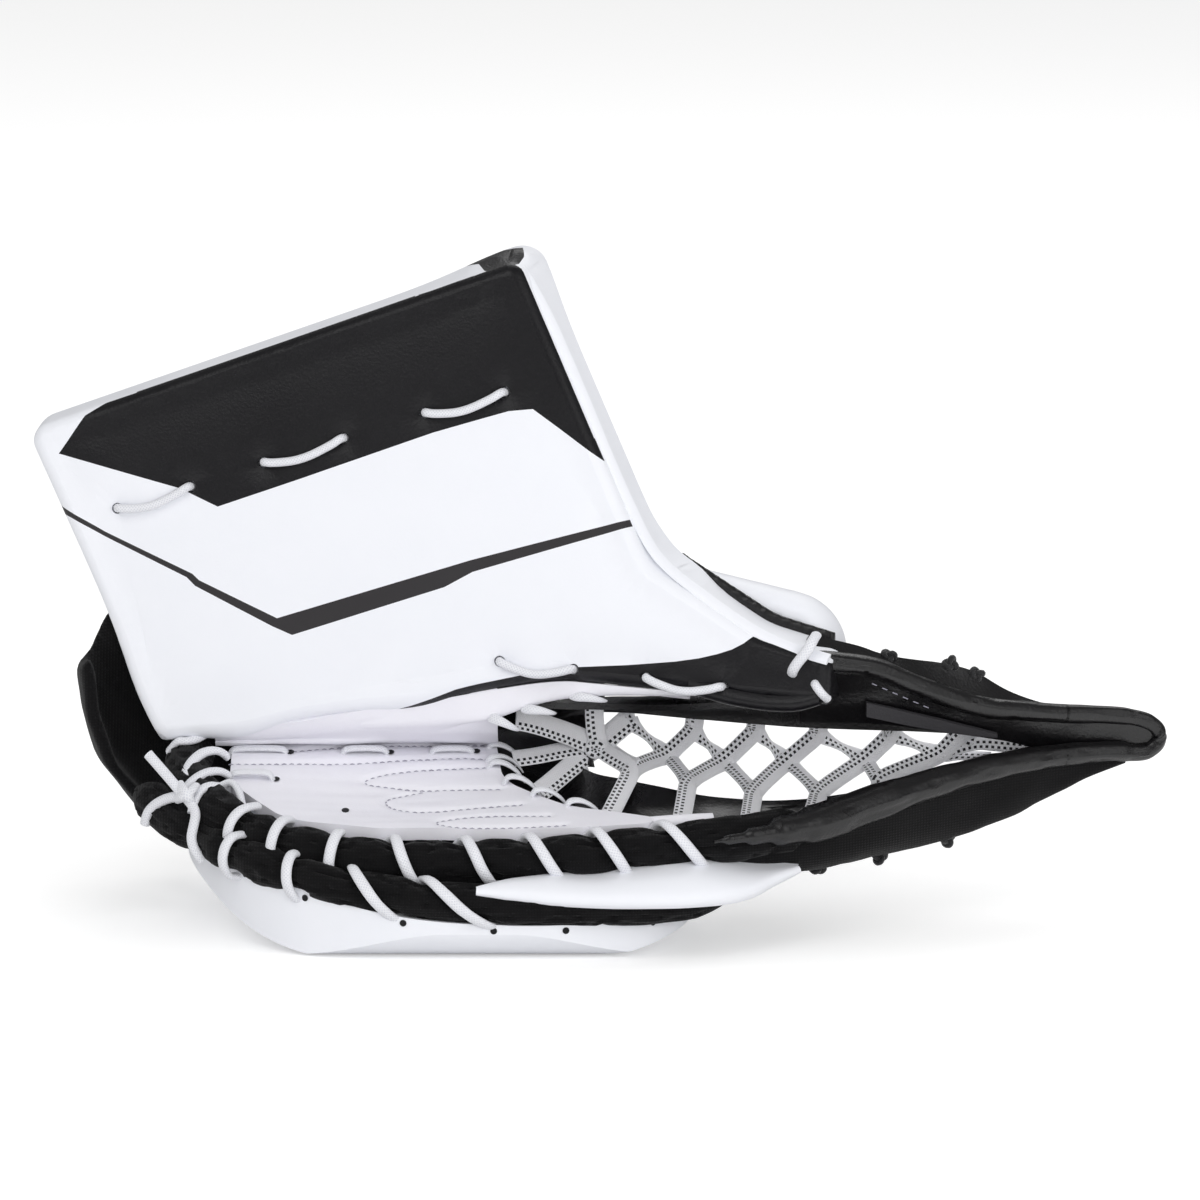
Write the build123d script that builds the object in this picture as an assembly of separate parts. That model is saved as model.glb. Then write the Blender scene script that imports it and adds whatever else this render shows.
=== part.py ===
from build123d import *
import os
from math import atan, cos, degrees, pi, radians, sin

os.makedirs("parts", exist_ok=True)

# Frame: X towards the tip of the pocket, Y away from the mouth, Z up, on the flat of the backhand board.
# The glove lies on its backhand, partly open, as it is laid down after a game.

# Driving dimensions, in millimetres and degrees.
clearance = 0.3
lace_diameter = 3.6
lace_hole_clearance = 0.6

# Cuff and thumb board: a flat padded board that leans back over the palm.
board_height = 75.0
board_yaw = 12.0
board_lean = 10.0
board_thickness = 24.0
board_front_round = 5.0
board_spread = 5.5
cuff_end_width = 202.0
cuff_end_slope = 20.4
cuff_corner = (15.0, 177.0)
cuff_heel = (-115.0, -10.0)
thumb_tip = (142.0, 13.0)
thumb_tip_width = 17.0
side_wall = 9.0
insert_thickness = 3.0
lining_thickness = 8.0
binding_width = 2.2
binding_depth = 6.0

# Thumb: a stall behind the board, a stay round it and a padded back.
thumb_start = (36.0, 48.0)
thumb_end = (117.0, 32.0)
stall_outer_radius = 15.0
stall_wall = 2.4
stay_thickness = 2.0
thumb_pad_thickness = 6.0
gusset_thickness = 3.0
gusset_reach = 4.0

# The break: the line from the heel to the tip of the pocket on which the glove folds.
break_y = 40.0
pocket_length = 262.0

# Finger side: backhand board, two perimeter rolls, finger board, palm and stalls.
backhand_thickness = 12.0
backhand_wall = 7.0
backhand_front = -80.0
backhand_back = 108.0
backhand_flat = 52.0
backhand_left = -104.0
backhand_right = 92.0
backhand_insert_thickness = 1.8
inner_roll_radius = 8.5
outer_roll_radius = 7.5
palm_front_y = -58.0
palm_front_z = 45.0
palm_slope = 10.0
palm_thickness = 5.0
palm_pad_thickness = 4.0
palm_length = 99.0
finger_width = 25.0
finger_height = 17.0
finger_wall = 2.2
finger_length = 84.0
finger_pitch = 26.5
finger_first_x = -48.0

# Wrist wrap and straps.
wrap_wall = 5.0
wrap_top = 108.0
wrap_bottom = 14.0
strap_width = 38.0
strap_thickness = 2.4

# Pocket bars and web.
web_strand = 3.0
knot_radius = 3.2


def save(node, shape):
    solids = shape.solids()
    export_step(Compound(children=list(solids)) if len(solids) > 1 else solids[0], f"parts/{node}.step")


def board_plane():
    """The front face of the board: u runs to the thumb, w up to the wrist, the normal out at the catcher."""
    yaw = radians(board_yaw)
    lean = radians(board_lean)
    normal = (-sin(yaw) * cos(lean), -cos(yaw) * cos(lean), sin(lean))
    return Plane(origin=(0, 0, board_height), x_dir=(cos(yaw), -sin(yaw), 0), z_dir=normal)


face = board_plane()


def on_board(u, w, depth=0.0):
    return face.from_local_coords(Vector(u, w, -depth))


def tube(points, bends, diameter):
    path = FilletPolyline(*points, radius=bends)
    return sweep(Plane(origin=path @ 0, z_dir=path % 0) * Circle(diameter / 2), path=path)


def pill(width, height):
    return RectangleRounded(width, height, min(width, height) * 0.42)


def across(x, y, z, turn=0.0):
    """A plane square to X at one station, turned about X."""
    return Plane(origin=(x, y, z), x_dir=(0, cos(radians(turn)), sin(radians(turn))), z_dir=(1, 0, 0))


def bar(stations):
    """A padded bar lofted through stations: x, y, z, depth in Y, height in Z, turn about X."""
    return loft([across(x, y, z, turn) * pill(depth, height) for x, y, z, depth, height, turn in stations])


def arched_sheet(stations, thickness, ruled=False):
    """A bent sheet lofted through stations: x and three points (y, z) of its lower face."""
    faces = []
    for x, start, middle, end in stations:
        lower = ThreePointArc(start, middle, end)
        centre = Vector(lower.arc_center.X, lower.arc_center.Y)
        outer = []
        for point in (start, middle, end):
            ray = Vector(*point) - centre
            outer.append(centre + ray * ((ray.length - thickness) / ray.length))
        edges = [lower, Line(end, outer[2]), ThreePointArc(*outer), Line(outer[0], start)]
        faces.append(across(x, 0, 0) * make_face(edges))
    return loft(faces, ruled=ruled)


# ---------------------------------------------------------------- thumb side


# The lowest point of the board's lower edge between the heel and the thumb tip.
belly = (thumb_tip[0] - 106, thumb_tip[1] + 6)


def board_outline(grow=0.0):
    """The board seen square on, from the wrist end round by the thumb to the heel."""
    slope = radians(cuff_end_slope)
    far_corner = (cuff_corner[0] - cuff_end_width * cos(slope), cuff_corner[1] - cuff_end_width * sin(slope))
    tip_top = (thumb_tip[0], thumb_tip[1] + thumb_tip_width)
    knuckle = (thumb_tip[0] - 30, tip_top[1] + 8)
    crook = (thumb_tip[0] - 72, tip_top[1] + 33)
    corners = [far_corner, cuff_corner, crook, knuckle, tip_top, thumb_tip, belly, cuff_heel]
    bends = [6, 5, 26, 40, 6, 5, 90, 8]
    outline = make_face(FilletPolyline(*corners, radius=bends, close=True))
    return offset(outline, amount=grow) if grow else outline


def board_slab(grow, start, thickness):
    """A plate of the board's outline, from one depth behind the front face."""
    return extrude(face.offset(-start) * board_outline(grow), amount=-thickness)


def round_front(block):
    """Rounds the edge of a block's front face, where the skin is drawn over the foam."""
    rim = [e for e in block.edges() if abs(face.to_local_coords(e.center()).Z) < 0.01]
    return fillet(rim, board_front_round)


def board_blank(grow=0.0):
    """The board before it is hollowed. It widens towards its back, except along its lower edge and at the thumb tip."""
    draft = degrees(atan(board_spread / board_thickness))
    blank = extrude(face * board_outline(grow), amount=-board_thickness, taper=-draft)
    reach = 300
    corners = [cuff_heel, belly, thumb_tip, (thumb_tip[0], reach), (-reach, reach), (-reach, cuff_heel[1])]
    keep = make_face(FilletPolyline(*corners, radius=[8, 90, 5, 5, 5, 5], close=True))
    trim = extrude(face * (offset(keep, amount=grow) if grow else keep), amount=-board_thickness)
    if grow:
        return blank & trim
    return round_front(blank) & round_front(trim)


def stitch(start, end, spare=0.0):
    """A lace that comes out of the board at one hole and goes back in at the next."""
    lift = -(lace_diameter / 2 + 0.4)
    root = lace_diameter * 1.6
    points = [on_board(*start, root), on_board(*start, lift), on_board(*end, lift), on_board(*end, root)]
    return tube(points, [lace_diameter * 0.8] * 2, lace_diameter + spare)


cuff_stitches = [((-138, 78), (-109, 87.5)), ((-81, 97.5), (-49.5, 108)), ((-18.5, 118.5), (12.5, 127.5))]
thumb_stitches = [((14, 25), (43, 23)), ((71, 21), (101, 18.5))]


def make_board():
    board = board_blank()
    recess = insert_thickness + lining_thickness + clearance
    board -= board_slab(-side_wall, board_thickness - recess, recess + 1)
    for start, end in cuff_stitches + thumb_stitches:
        board -= stitch(start, end, lace_hole_clearance)
    return board


def make_insert():
    depth = board_thickness - insert_thickness - lining_thickness - clearance / 2
    return board_slab(-side_wall - clearance, depth, insert_thickness)


def make_lining():
    return board_slab(-side_wall - clearance, board_thickness - lining_thickness, lining_thickness)


def make_binding():
    """The welt along the seam from the wrist corner to the thumb tip."""
    welt = board_blank(binding_width + 0.1) - board_blank(0.1)
    side = Pos(cuff_corner[0] + 80, cuff_corner[1] - 84) * Rectangle(160, 150)
    welt &= extrude(face.offset(-board_front_round - 1) * side, amount=-binding_depth)
    return welt.solids().sort_by(SortBy.VOLUME)[-1]


thumb_axis_depth = board_thickness + gusset_thickness + 2 * clearance + stall_outer_radius


def thumb_capsule(radius, ahead=0.0):
    """A tube closed by a dome at the thumb tip."""
    start = on_board(*thumb_start, thumb_axis_depth)
    end = on_board(*thumb_end, thumb_axis_depth)
    along = end - start
    root = Plane(origin=start - along.normalized() * ahead, z_dir=along)
    rod = extrude(root * Circle(radius), amount=along.length + ahead)
    return rod + Pos(*end) * Sphere(radius)


def behind_board(depth, low):
    """Everything behind one depth of the board and above one line on it."""
    size = 400
    block = Pos(0, size / 2 + low, -size / 2 - depth) * Box(2 * size, size, size)
    return face.location * block


def make_thumb_stall():
    return thumb_capsule(stall_outer_radius) - thumb_capsule(stall_outer_radius - stall_wall, 1)


stay_inner = stall_outer_radius + clearance
stay_outer = stay_inner + stay_thickness


def make_thumb_stay():
    shell = thumb_capsule(stay_outer) - thumb_capsule(stay_inner, 1)
    return shell & behind_board(thumb_axis_depth + 3, thumb_end[1] - stay_outer + 6)


def make_thumb_back_pad():
    inner = stay_outer + clearance
    pad = thumb_capsule(inner + thumb_pad_thickness) - thumb_capsule(inner, 1)
    return pad & behind_board(board_thickness + gusset_thickness + 2 * clearance, thumb_end[1] - 6)


def make_gusset():
    """The black strip sewn between the board and the thumb's padded back."""
    reach = Pos(thumb_tip[0] - 45, thumb_tip[1] + 30) * Rectangle(84, 52)
    strip = board_outline(board_spread + gusset_reach) & reach
    return extrude(face.offset(-board_thickness - clearance) * strip, amount=-gusset_thickness)


def make_tip_tie():
    """A lace that goes over the binding at the thumb tip."""
    u, w = thumb_tip[0] - 8, thumb_tip[1] + thumb_tip_width
    lift = -(lace_diameter / 2 + 0.4)
    points = [
        on_board(u - 8, w - 6, lift),
        on_board(u, w + 2, lift),
        on_board(u + 4, w + 9, lift + 1),
        on_board(u + 6, w + 10, board_thickness * 0.5),
    ]
    return tube(points, [4, 3.4], lace_diameter)


def make_thumb_panel():
    """Palm leather that runs under the lower edge of the board."""
    stations = []
    for u in (-62, -22, 34, 84, 130):
        w = lower_edge(u) - clearance - 5.2
        front = on_board(u, w, board_front_round)
        stations.append((front.X, front.Y + 9, front.Z - 0.6, 20, 3.0, -board_lean))
    return bar(stations)


def lower_edge(u):
    """Height of the board's lower edge at u."""
    if u < belly[0]:
        share = (u - cuff_heel[0]) / (belly[0] - cuff_heel[0])
        return cuff_heel[1] + share * (belly[1] - cuff_heel[1]) - 1.0
    share = (u - belly[0]) / (thumb_tip[0] - belly[0])
    return belly[1] + share * (thumb_tip[1] - belly[1]) - 1.0


upper_bar_stations = [
    (145.4, -11, 96.5, 18, 23, 8),
    (160, -4, 91.5, 18, 20, 10),
    (204, 14, 78.5, 15, 15.5, 12),
    (232, 28, 73.4, 12, 9.5, 6),
    (pocket_length, break_y, 68.6, 9, 7, 0),
]


def make_upper_rim():
    """The strap under the thumb that the web is laced to."""
    stations = [
        (66, 27, 76.5, 3.4, 13, 0),
        (104, 25, 74.5, 3.4, 13, 0),
        (142, 22, 73.5, 3.4, 13, 0),
        (172, 25, 72.5, 3.4, 11, 0),
        (206, 31, 69.6, 3.0, 8, 0),
    ]
    return bar(stations)


def make_upper_panel():
    """Leather roof of the pocket, from the board's lower edge and the upper bar back to the rim strap and the fold."""
    stations = [
        (16, (14.0, 79.2), (33, 76), (43.6, 66)),
        (38, (12.4, 79.2), (31, 77), (42.0, 68)),
        (58, (11.8, 79.2), (18, 80.4), (24.4, 78.4)),
        (104, (5.2, 78.4), (14, 80.3), (22.8, 77.0)),
        (130, (-0.6, 78.4), (11, 80.6), (19.4, 77.0)),
        (160, (3.4, 79.6), (13, 81.0), (20.2, 78.0)),
        (204, (22.6, 76.5), (26, 76.2), (28.8, 73.5)),
    ]
    return arched_sheet(stations, 2.4, ruled=True)


def knots(places):
    """Stopper knots of the lace, one on each place."""
    bead = Rot(0, 90, 0) * Cylinder(knot_radius, 2.2 * knot_radius)
    group = [Pos(*place) * fillet(bead.edges().filter_by(GeomType.CIRCLE), 0.5 * knot_radius) for place in places]
    return Compound(children=group)


upper_knot_places = [(163, -2.5, 104.9), (186, 7, 96.3), (196, 11, 93.2)]
lower_knot_places = [(136, -12, 21.2), (160, -4, 23.2), (186, 10, 27.4)]


def make_palm_crease():
    """Soft leather that folds between the palm and the back of the board's lower edge."""
    root = (41.0, 59.4)
    stations = []
    for x, fold, slack in ((-80, (46, 62.5), 4.6), (-60, (48, 66), 5.0), (-20, (51, 68), 7.5), (10, (52, 70), 8.8)):
        rear = on_board(x, lower_edge(x), board_thickness)
        stations.append((x, root, fold, (rear.Y + slack, rear.Z + 1.0)))
    return arched_sheet(stations, 2.4)


# --------------------------------------------------------------- finger side


def boat(bottom):
    """Side profile of the backhand, flat in the middle and rising to both ends."""
    left = backhand_left
    right = backhand_right
    flat = backhand_flat
    lift = 31.0
    prow = 13.5
    heel_arc = ThreePointArc((left - 4, lift + bottom), (left + 24, 8 + bottom), (-flat, bottom))
    toe_arc = ThreePointArc((flat, bottom), (right - 16, 5.4 + bottom), (right + 4, prow + bottom))
    top = 150
    lines = [
        heel_arc,
        Line((-flat, bottom), (flat, bottom)),
        toe_arc,
        Line((right + 4, prow + bottom), (right + 4, top)),
        Line((right + 4, top), (left - 4, top)),
        Line((left - 4, top), (left - 4, lift + bottom)),
    ]
    return Plane.XZ.offset(-200) * make_face(lines)


def trough(bottom):
    """End profile of the backhand, flat under the fingers and rising behind the wrist."""
    front = backhand_front
    back = backhand_back
    nose = ThreePointArc((front - 2 + bottom, 20), (front + 4 + bottom * 0.7, 5 + bottom * 0.5), (front + 18, bottom))
    heel = ThreePointArc((back - 70, bottom), (back - 24, 16 + bottom * 0.9), (back - bottom, 62))
    top = 150
    lines = [
        nose,
        Line((front + 18, bottom), (back - 70, bottom)),
        heel,
        Line((back - bottom, 62), (back - bottom, top)),
        Line((back - bottom, top), (front - 2 + bottom, top)),
        Line((front - 2 + bottom, top), (front - 2 + bottom, 20)),
    ]
    return Plane.YZ.offset(-200) * make_face(lines)


def hull(bottom):
    """The solid space above one skin of the backhand."""
    return extrude(boat(bottom), amount=400) & extrude(trough(bottom), amount=400)


def backhand_plan(grow=0.0):
    """Outline of the backhand from below."""
    front = backhand_front
    back = backhand_back
    corners = [
        (backhand_left, -8),
        (backhand_left + 26, front + 20),
        (-28, front),
        (38, front),
        (backhand_right - 8, front + 14),
        (backhand_right, -12),
        (backhand_right - 26, back - 30),
        (30, back),
        (-62, back),
        (backhand_left, back - 40),
    ]
    outline = make_face(FilletPolyline(*corners, radius=[60, 70, 120, 120, 34, 40, 40, 34, 34, 34], close=True))
    return offset(outline, amount=grow) if grow else outline


def front_rim():
    """Everything below the upper edge of the front wall, which sinks under the outer roll."""
    sheer = Spline((-130, 50), (-84, 33.4), (-57, 24.6), (-24, 17.2), (20, 13.8), (84, 15.0), (130, 18))
    keel = Polyline(sheer @ 1, (130, -5), (-130, -5), sheer @ 0)
    return extrude(Plane.XZ.offset(-200) * make_face([sheer, keel]), amount=400)


def backhand_room(spare=0.0):
    """The hollow of the backhand inside its front wall."""
    return hull(backhand_thickness + spare) & extrude(backhand_plan(-backhand_wall - spare), amount=120)


def make_backhand_board():
    """A shallow boat: a rounded front wall under the rolls, and a high wall behind the hand."""
    block = hull(0) & extrude(backhand_plan(), amount=120)
    behind = Pos(0, backhand_back - 35, 33) * Box(300, 90, 86)
    front = (block - backhand_room()) & front_rim()
    rear = (block - hull(backhand_thickness)) & behind
    return (front + rear).solids().sort_by(SortBy.VOLUME)[-1]


def make_backhand_insert():
    plate = extrude(Pos(0, 0, backhand_thickness + clearance / 2) * backhand_plan(-26), amount=backhand_insert_thickness)
    flat = Pos(-4, -18, backhand_thickness) * Box(2 * backhand_flat - 8, 84, 12)
    return plate & flat


inner_roll_points = [
    (-106, 24, 50),
    (-99, -8, 50),
    (-82, -38, 45),
    (-50, -57, 37.5),
    (-14, -61, 33.4),
    (34, -61, 35),
    (84, -54, 39),
    (122, -42, 43),
]


inner_roll_bends = [30, 34, 44, 70, 90, 90]


def inner_roll(spare=0.0):
    return tube(inner_roll_points, inner_roll_bends, 2 * (inner_roll_radius + spare))


outer_roll_points = [
    (-100, -14, 41),
    (-84, -46, 35),
    (-54, -66, 27.5),
    (-18, -74, 22.4),
    (20, -76, 20.6),
    (64, -74, 20.2),
    (96, -64, 22),
]


outer_roll_bends = [26, 40, 70, 90, 90]


def make_outer_roll():
    path = FilletPolyline(*outer_roll_points, radius=outer_roll_bends)
    start = Plane(origin=path @ 0, z_dir=path % 0) * Circle(outer_roll_radius)
    roll = sweep(start, path=path)
    roll -= inner_roll(clearance)
    roll -= (hull(-20) & front_rim()) - backhand_room(clearance)
    roll = roll.solids().sort_by(SortBy.VOLUME)[-1]
    return roll


def make_finger_board():
    """The white wedge between the two rolls."""
    wedge = loft(
        [
            across(6, -63, 26) * pill(16, 3),
            across(44, -62, 27.5) * pill(22, 10),
            across(84, -56, 29) * pill(24, 12),
            across(112, -44, 31) * pill(20, 8),
            across(124, -38, 31) * pill(12, 3),
        ]
    )
    wedge -= inner_roll(clearance)
    wedge -= tube(outer_roll_points, outer_roll_bends, 2 * (outer_roll_radius + clearance))
    return wedge.solids().sort_by(SortBy.VOLUME)[-1]


def palm_plane(drop=0.0):
    tilt = radians(palm_slope)
    origin = Vector(0, palm_front_y, palm_front_z) + Vector(0, sin(tilt), -cos(tilt)) * drop
    return Plane(origin=origin, x_dir=(1, 0, 0), z_dir=(0, -sin(tilt), cos(tilt)))


def palm_outline(grow=0.0):
    """The palm seen square on: v runs back from the finger roll to the fold."""
    corners = [
        (84, 12),
        (40, 30),
        (16, 60),
        (13, palm_length),
        (-88, palm_length),
        (-88, 58),
        (-66, 18),
        (-30, 8),
        (40, 5),
    ]
    outline = make_face(FilletPolyline(*corners, radius=[4, 40, 30, 8, 10, 30, 30, 40, 60], close=True))
    return offset(outline, amount=grow) if grow else outline


def make_palm():
    palm = extrude(palm_plane() * palm_outline(), amount=-palm_thickness)
    palm -= inner_roll(clearance)
    return palm.solids().sort_by(SortBy.VOLUME)[-1]


def make_palm_pad():
    pad = extrude(palm_plane(palm_thickness + clearance / 2) * palm_outline(-9), amount=-palm_pad_thickness)
    pad -= inner_roll(clearance)
    return pad.solids().sort_by(SortBy.VOLUME)[-1]


def make_finger_stall(place):
    """A flat fabric tube closed at the fingertip."""
    x = finger_first_x + place * finger_pitch
    z = backhand_thickness + 2.4 + clearance + finger_height / 2
    tip = Plane(origin=(x, palm_front_y + 10, z), x_dir=(1, 0, 0), z_dir=(0, 1, 0))
    outer = extrude(tip * pill(finger_width, finger_height), amount=finger_length)
    room = pill(finger_width - 2 * finger_wall, finger_height - 2 * finger_wall)
    return outer - extrude(tip.offset(finger_wall) * room, amount=finger_length)


lower_bar_stations = [
    (112, -47, 47, 14, 9, -14),
    (141, -33, 48.4, 15, 11, -16),
    (184, -1, 54, 15, 12.5, -12),
    (218, 22, 54.6, 13, 13, -4),
    (242, 33, 56.2, 10, 10.5, 0),
    (pocket_length, break_y, 57.4, 9, 8.4, 0),
]


def make_lower_bar():
    lower = bar(lower_bar_stations)
    lower -= inner_roll(clearance)
    return lower.solids().sort_by(SortBy.VOLUME)[-1]


def make_lower_rim():
    """The strap that the lower edge of the web is laced to."""
    stations = [
        (50, 12, 55.2, 12, 3.4, 8),
        (90, 6, 46, 13, 3.4, 4),
        (133, 8, 44.6, 13, 3.4, 10),
        (172, 20, 50, 10, 3.4, 20),
        (204, 31, 56, 7, 3.0, 20),
    ]
    return bar(stations)


def make_pocket_liner():
    """Leather bowl between the palm's edge, the rolls and the lower rim. It closes the heel end of the pocket."""
    stations = [
        (17, (14.0, 46.0), (34, 47), (44.6, 57.6)),
        (30, (-10.0, 39.6), (20, 37.6), (41.0, 55.4)),
        (46, (-25.0, 38.8), (6, 37.6), (34.0, 50.0)),
        (60, (-36.6, 38.0), (-18, 38.6), (2.0, 46.2)),
        (92, (-42.2, 38.6), (-20, 35.6), (-3.0, 44.0)),
        (116, (-34.4, 38.6), (-16, 36), (-2.2, 43.4)),
    ]
    liner = arched_sheet(stations, 3.0, ruled=True) - inner_roll(clearance)
    return liner.solids().sort_by(SortBy.VOLUME)[-1]


def make_lower_panel():
    """Fabric skin of the pocket under the lower bar."""
    stations = [
        (120, (-35.0, 36.6), (-14, 25), (10, 41.8)),
        (160, (-21, 43.6), (-3, 27), (16.5, 44.4)),
        (192, (4, 46.8), (13, 33), (27, 49.6)),
        (222, (23, 47.4), (30, 40), (36, 50)),
    ]
    return arched_sheet(stations, 3.0)


def make_tip():
    """The folded leather end: one bar turns round the tip into the other and leaves a slot between them."""
    upper_end = upper_bar_stations[-1]
    lower_end = lower_bar_stations[-1]
    start = (pocket_length + clearance, break_y, upper_end[2])
    end = (pocket_length + clearance, break_y, lower_end[2])
    reach = (upper_end[2] - lower_end[2]) / 2
    nose = (start[0] + reach, break_y, start[2] - reach)
    turn = ThreePointArc(start, nose, end)
    return sweep(Plane(origin=start, x_dir=(0, 1, 0), z_dir=turn % 0) * pill(upper_end[3] + 1, upper_end[4]), path=turn)


# ------------------------------------------------------------------- lacing


def lace_turn(path, share, radius, first, last, lean):
    """Lace laid over a roll at one share of its length, from one angle round it to another."""
    along = path % share
    level = Vector(0, 0, 1).cross(along).normalized()
    station = Plane(origin=path @ share, x_dir=level, z_dir=along).rotated((lean, 0, 0))
    turn = station * CenterArc((0, 0), radius, first, last - first)
    return sweep(Plane(origin=turn @ 0, z_dir=turn % 0) * Circle(lace_diameter / 2), path=turn)


def make_inner_lacing():
    path = FilletPolyline(*inner_roll_points, radius=inner_roll_bends)
    radius = inner_roll_radius + lace_diameter / 2 + clearance
    turns = []
    for number in range(11):
        share = 0.13 + number * 0.069
        turns.append(lace_turn(path, share, radius, 74, 182, 12 - 3 * number))
    return turns


def make_outer_lacing():
    path = FilletPolyline(*outer_roll_points, radius=outer_roll_bends)
    radius = outer_roll_radius + lace_diameter / 2 + clearance
    turns = []
    for number in range(6):
        share = 0.14 + number * 0.115
        turns.append(lace_turn(path, share, radius, 140, 225, 6 - 7 * number))
    return turns


def make_heel_laces():
    """The crossed tie that pulls the heel together, on the end of the finger roll."""
    path = FilletPolyline(*inner_roll_points, radius=inner_roll_bends)
    radius = inner_roll_radius + lace_diameter / 2 + clearance
    first = lace_turn(path, 0.045, radius, 60, 240, 0)
    second = lace_turn(path, 0.085, radius, 60, 206, 8)
    return [first, second]


palm_edge_places = [(13.5, 84, 0), (14.4, 70, 4), (18.6, 56, 26), (28, 42.5, 45), (41.5, 31.3, 60)]


def make_palm_edge_laces():
    """Short loops that go over the palm's edge on the side of the pocket."""
    lift = lace_diameter / 2 + clearance
    bottom = -palm_thickness - lift
    loops = []
    for u, v, turn in palm_edge_places:
        out = (cos(radians(turn)), sin(radians(turn)))
        places = [(-5, lift), (lift + 1.9, lift), (lift + 1.9, bottom), (-3, bottom)]
        points = [Vector(u + reach * out[0], v + reach * out[1], height) for reach, height in places]
        spots = [palm_plane().from_local_coords(point) for point in points]
        loops.append(tube(spots, [2.6, 2.6], lace_diameter))
    return loops


palm_track_v = 86.0
palm_tracks = [(-84, -66), (-48, -30), (-16, 1)]


def make_palm_laces():
    """Lace track on the palm in front of the fold."""
    lift = lace_diameter / 2 + 0.3
    tracks = []
    for start, end in palm_tracks:
        level = palm_plane()
        points = [
            level.from_local_coords(Vector(start, palm_track_v, lift)),
            level.from_local_coords(Vector((start + end) / 2, palm_track_v - 1, lift + 0.8)),
            level.from_local_coords(Vector(end, palm_track_v, lift)),
        ]
        tracks.append(tube(points, [40], lace_diameter))
    return tracks


# ---------------------------------------------------------------------- web


def web_depth(share):
    """How far back the net hangs, from the upper rim at 0 to the lower rim at 1."""
    return 24 + 26 * sin(share * pi) - 12 * share


upper_holes = [
    (52, 27, 69),
    (68, 26.9, 68.4),
    (90, 25.7, 67.2),
    (113, 24.3, 66.2),
    (137, 22.4, 65.6),
    (162, 23.8, 65.4),
    (189, 27.9, 64.8),
]
upper_nodes = [(64, 64), (89, 61.5), (113, 61.5), (137, 60.5), (165, 61), (191, 62)]
middle_nodes = [(79, 53.5), (101, 51.5), (125, 51.5), (155, 53), (184, 56.5)]
lower_nodes = [(66, 48), (87, 46.4), (112, 45.6), (137, 46.8), (160, 51.0)]
lower_holes = [(57, 19.4, 53.0), (84, 15.6, 48.2), (110, 15.8, 47.0), (136, 17.4, 47.4), (170, 26.6, 52.8)]


fan_node = (52, 33, 58.6)
fan_holes = [(26.5, 29.5, 67.0), (24.5, 24.0, 53.5), (33.0, 16.5, 45.5)]


def make_web():
    """The pocket's net: stubs from the rim straps, and a lattice of diamonds between them."""
    rows = [(upper_nodes, 0.3), (middle_nodes, 0.55), (lower_nodes, 0.8)]
    placed = [[Vector(x, web_depth(share), z) for x, z in row] for row, share in rows]
    top, middle, low = placed
    fan = Vector(*fan_node)
    pairs = [(fan, Vector(*hole)) for hole in fan_holes]
    pairs += [(fan, top[0]), (fan, low[0]), (fan, Vector(*upper_holes[0]))]
    pairs += [(Vector(*hole), node) for hole, node in zip(upper_holes[1:], top)]
    pairs += [(Vector(*hole), node) for hole, node in zip(lower_holes, low)]
    for number, node in enumerate(middle):
        pairs.append((top[number], node))
        pairs.append((top[number + 1], node))
        pairs.append((node, low[number]))
        if number + 1 < len(low):
            pairs.append((node, low[number + 1]))
    strands = []
    for start, end in pairs:
        along = end - start
        strands.append(extrude(Plane(origin=start, z_dir=along) * Circle(web_strand / 2), amount=along.length))
    beads = [Pos(*node) * Sphere(web_strand * 0.62) for node in [fan] + top + middle + low]
    return strands[0].fuse(*strands[1:], *beads)


# -------------------------------------------------------------------- wrist


# The wrap's wall at three heights: z, the front edge, the bulge at the side and the corner behind.
wrap_levels = [
    (wrap_bottom, (-101, 30), (-107, 60), (-92, 96)),
    (32.0, (-116, 36), (-124, 66), (-104, 100)),
    (52.0, (-133, 36), (-139, 68), (-118, 103)),
    (72.0, (-139, 36), (-144, 70), (-124, 105)),
    (wrap_top, (-141, 38), (-147, 74), (-130, 107)),
]


def wrap_band(level, corners):
    rear = backhand_back + clearance + wrap_wall / 2
    front_edge, side, corner = corners
    path = FilletPolyline(front_edge, side, corner, (-46, rear), (34, rear), (54, rear - 12), radius=[20, 26, 60, 20])
    return Pos(0, 0, level) * trace(path, line_width=wrap_wall)


def make_wrist_wrap():
    """A padded wall round the wrist, behind the cuff."""
    wall = loft([wrap_band(level, corners) for level, *corners in wrap_levels], ruled=True)
    side = [
        (-160, wrap_bottom - 5),
        (-160, wrap_top - 40),
        (-146, wrap_top - 22),
        (-128, wrap_top - 2),
        (-100, wrap_top + 1),
        (70, wrap_top - 16),
        (70, 62),
        (-20, 52),
    ]
    outline = make_face(FilletPolyline(*side, radius=[4, 10, 16, 14, 40, 14, 14, 30], close=True))
    wall &= extrude(Plane.XZ.offset(-200) * outline, amount=400)
    wall -= extrude(backhand_plan(clearance), amount=80)
    return wall.solids().sort_by(SortBy.VOLUME)[-1]


# ------------------------------------------------------------------- straps

strap_level = 78.0
strap_face = backhand_back + clearance + wrap_wall + clearance
strap_left = -52.0
ring_centre_x = 40.0
ring_half_width = 6.0
ring_wire = 3.0
tab_length = 74.0
patch_thickness = 1.2


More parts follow.
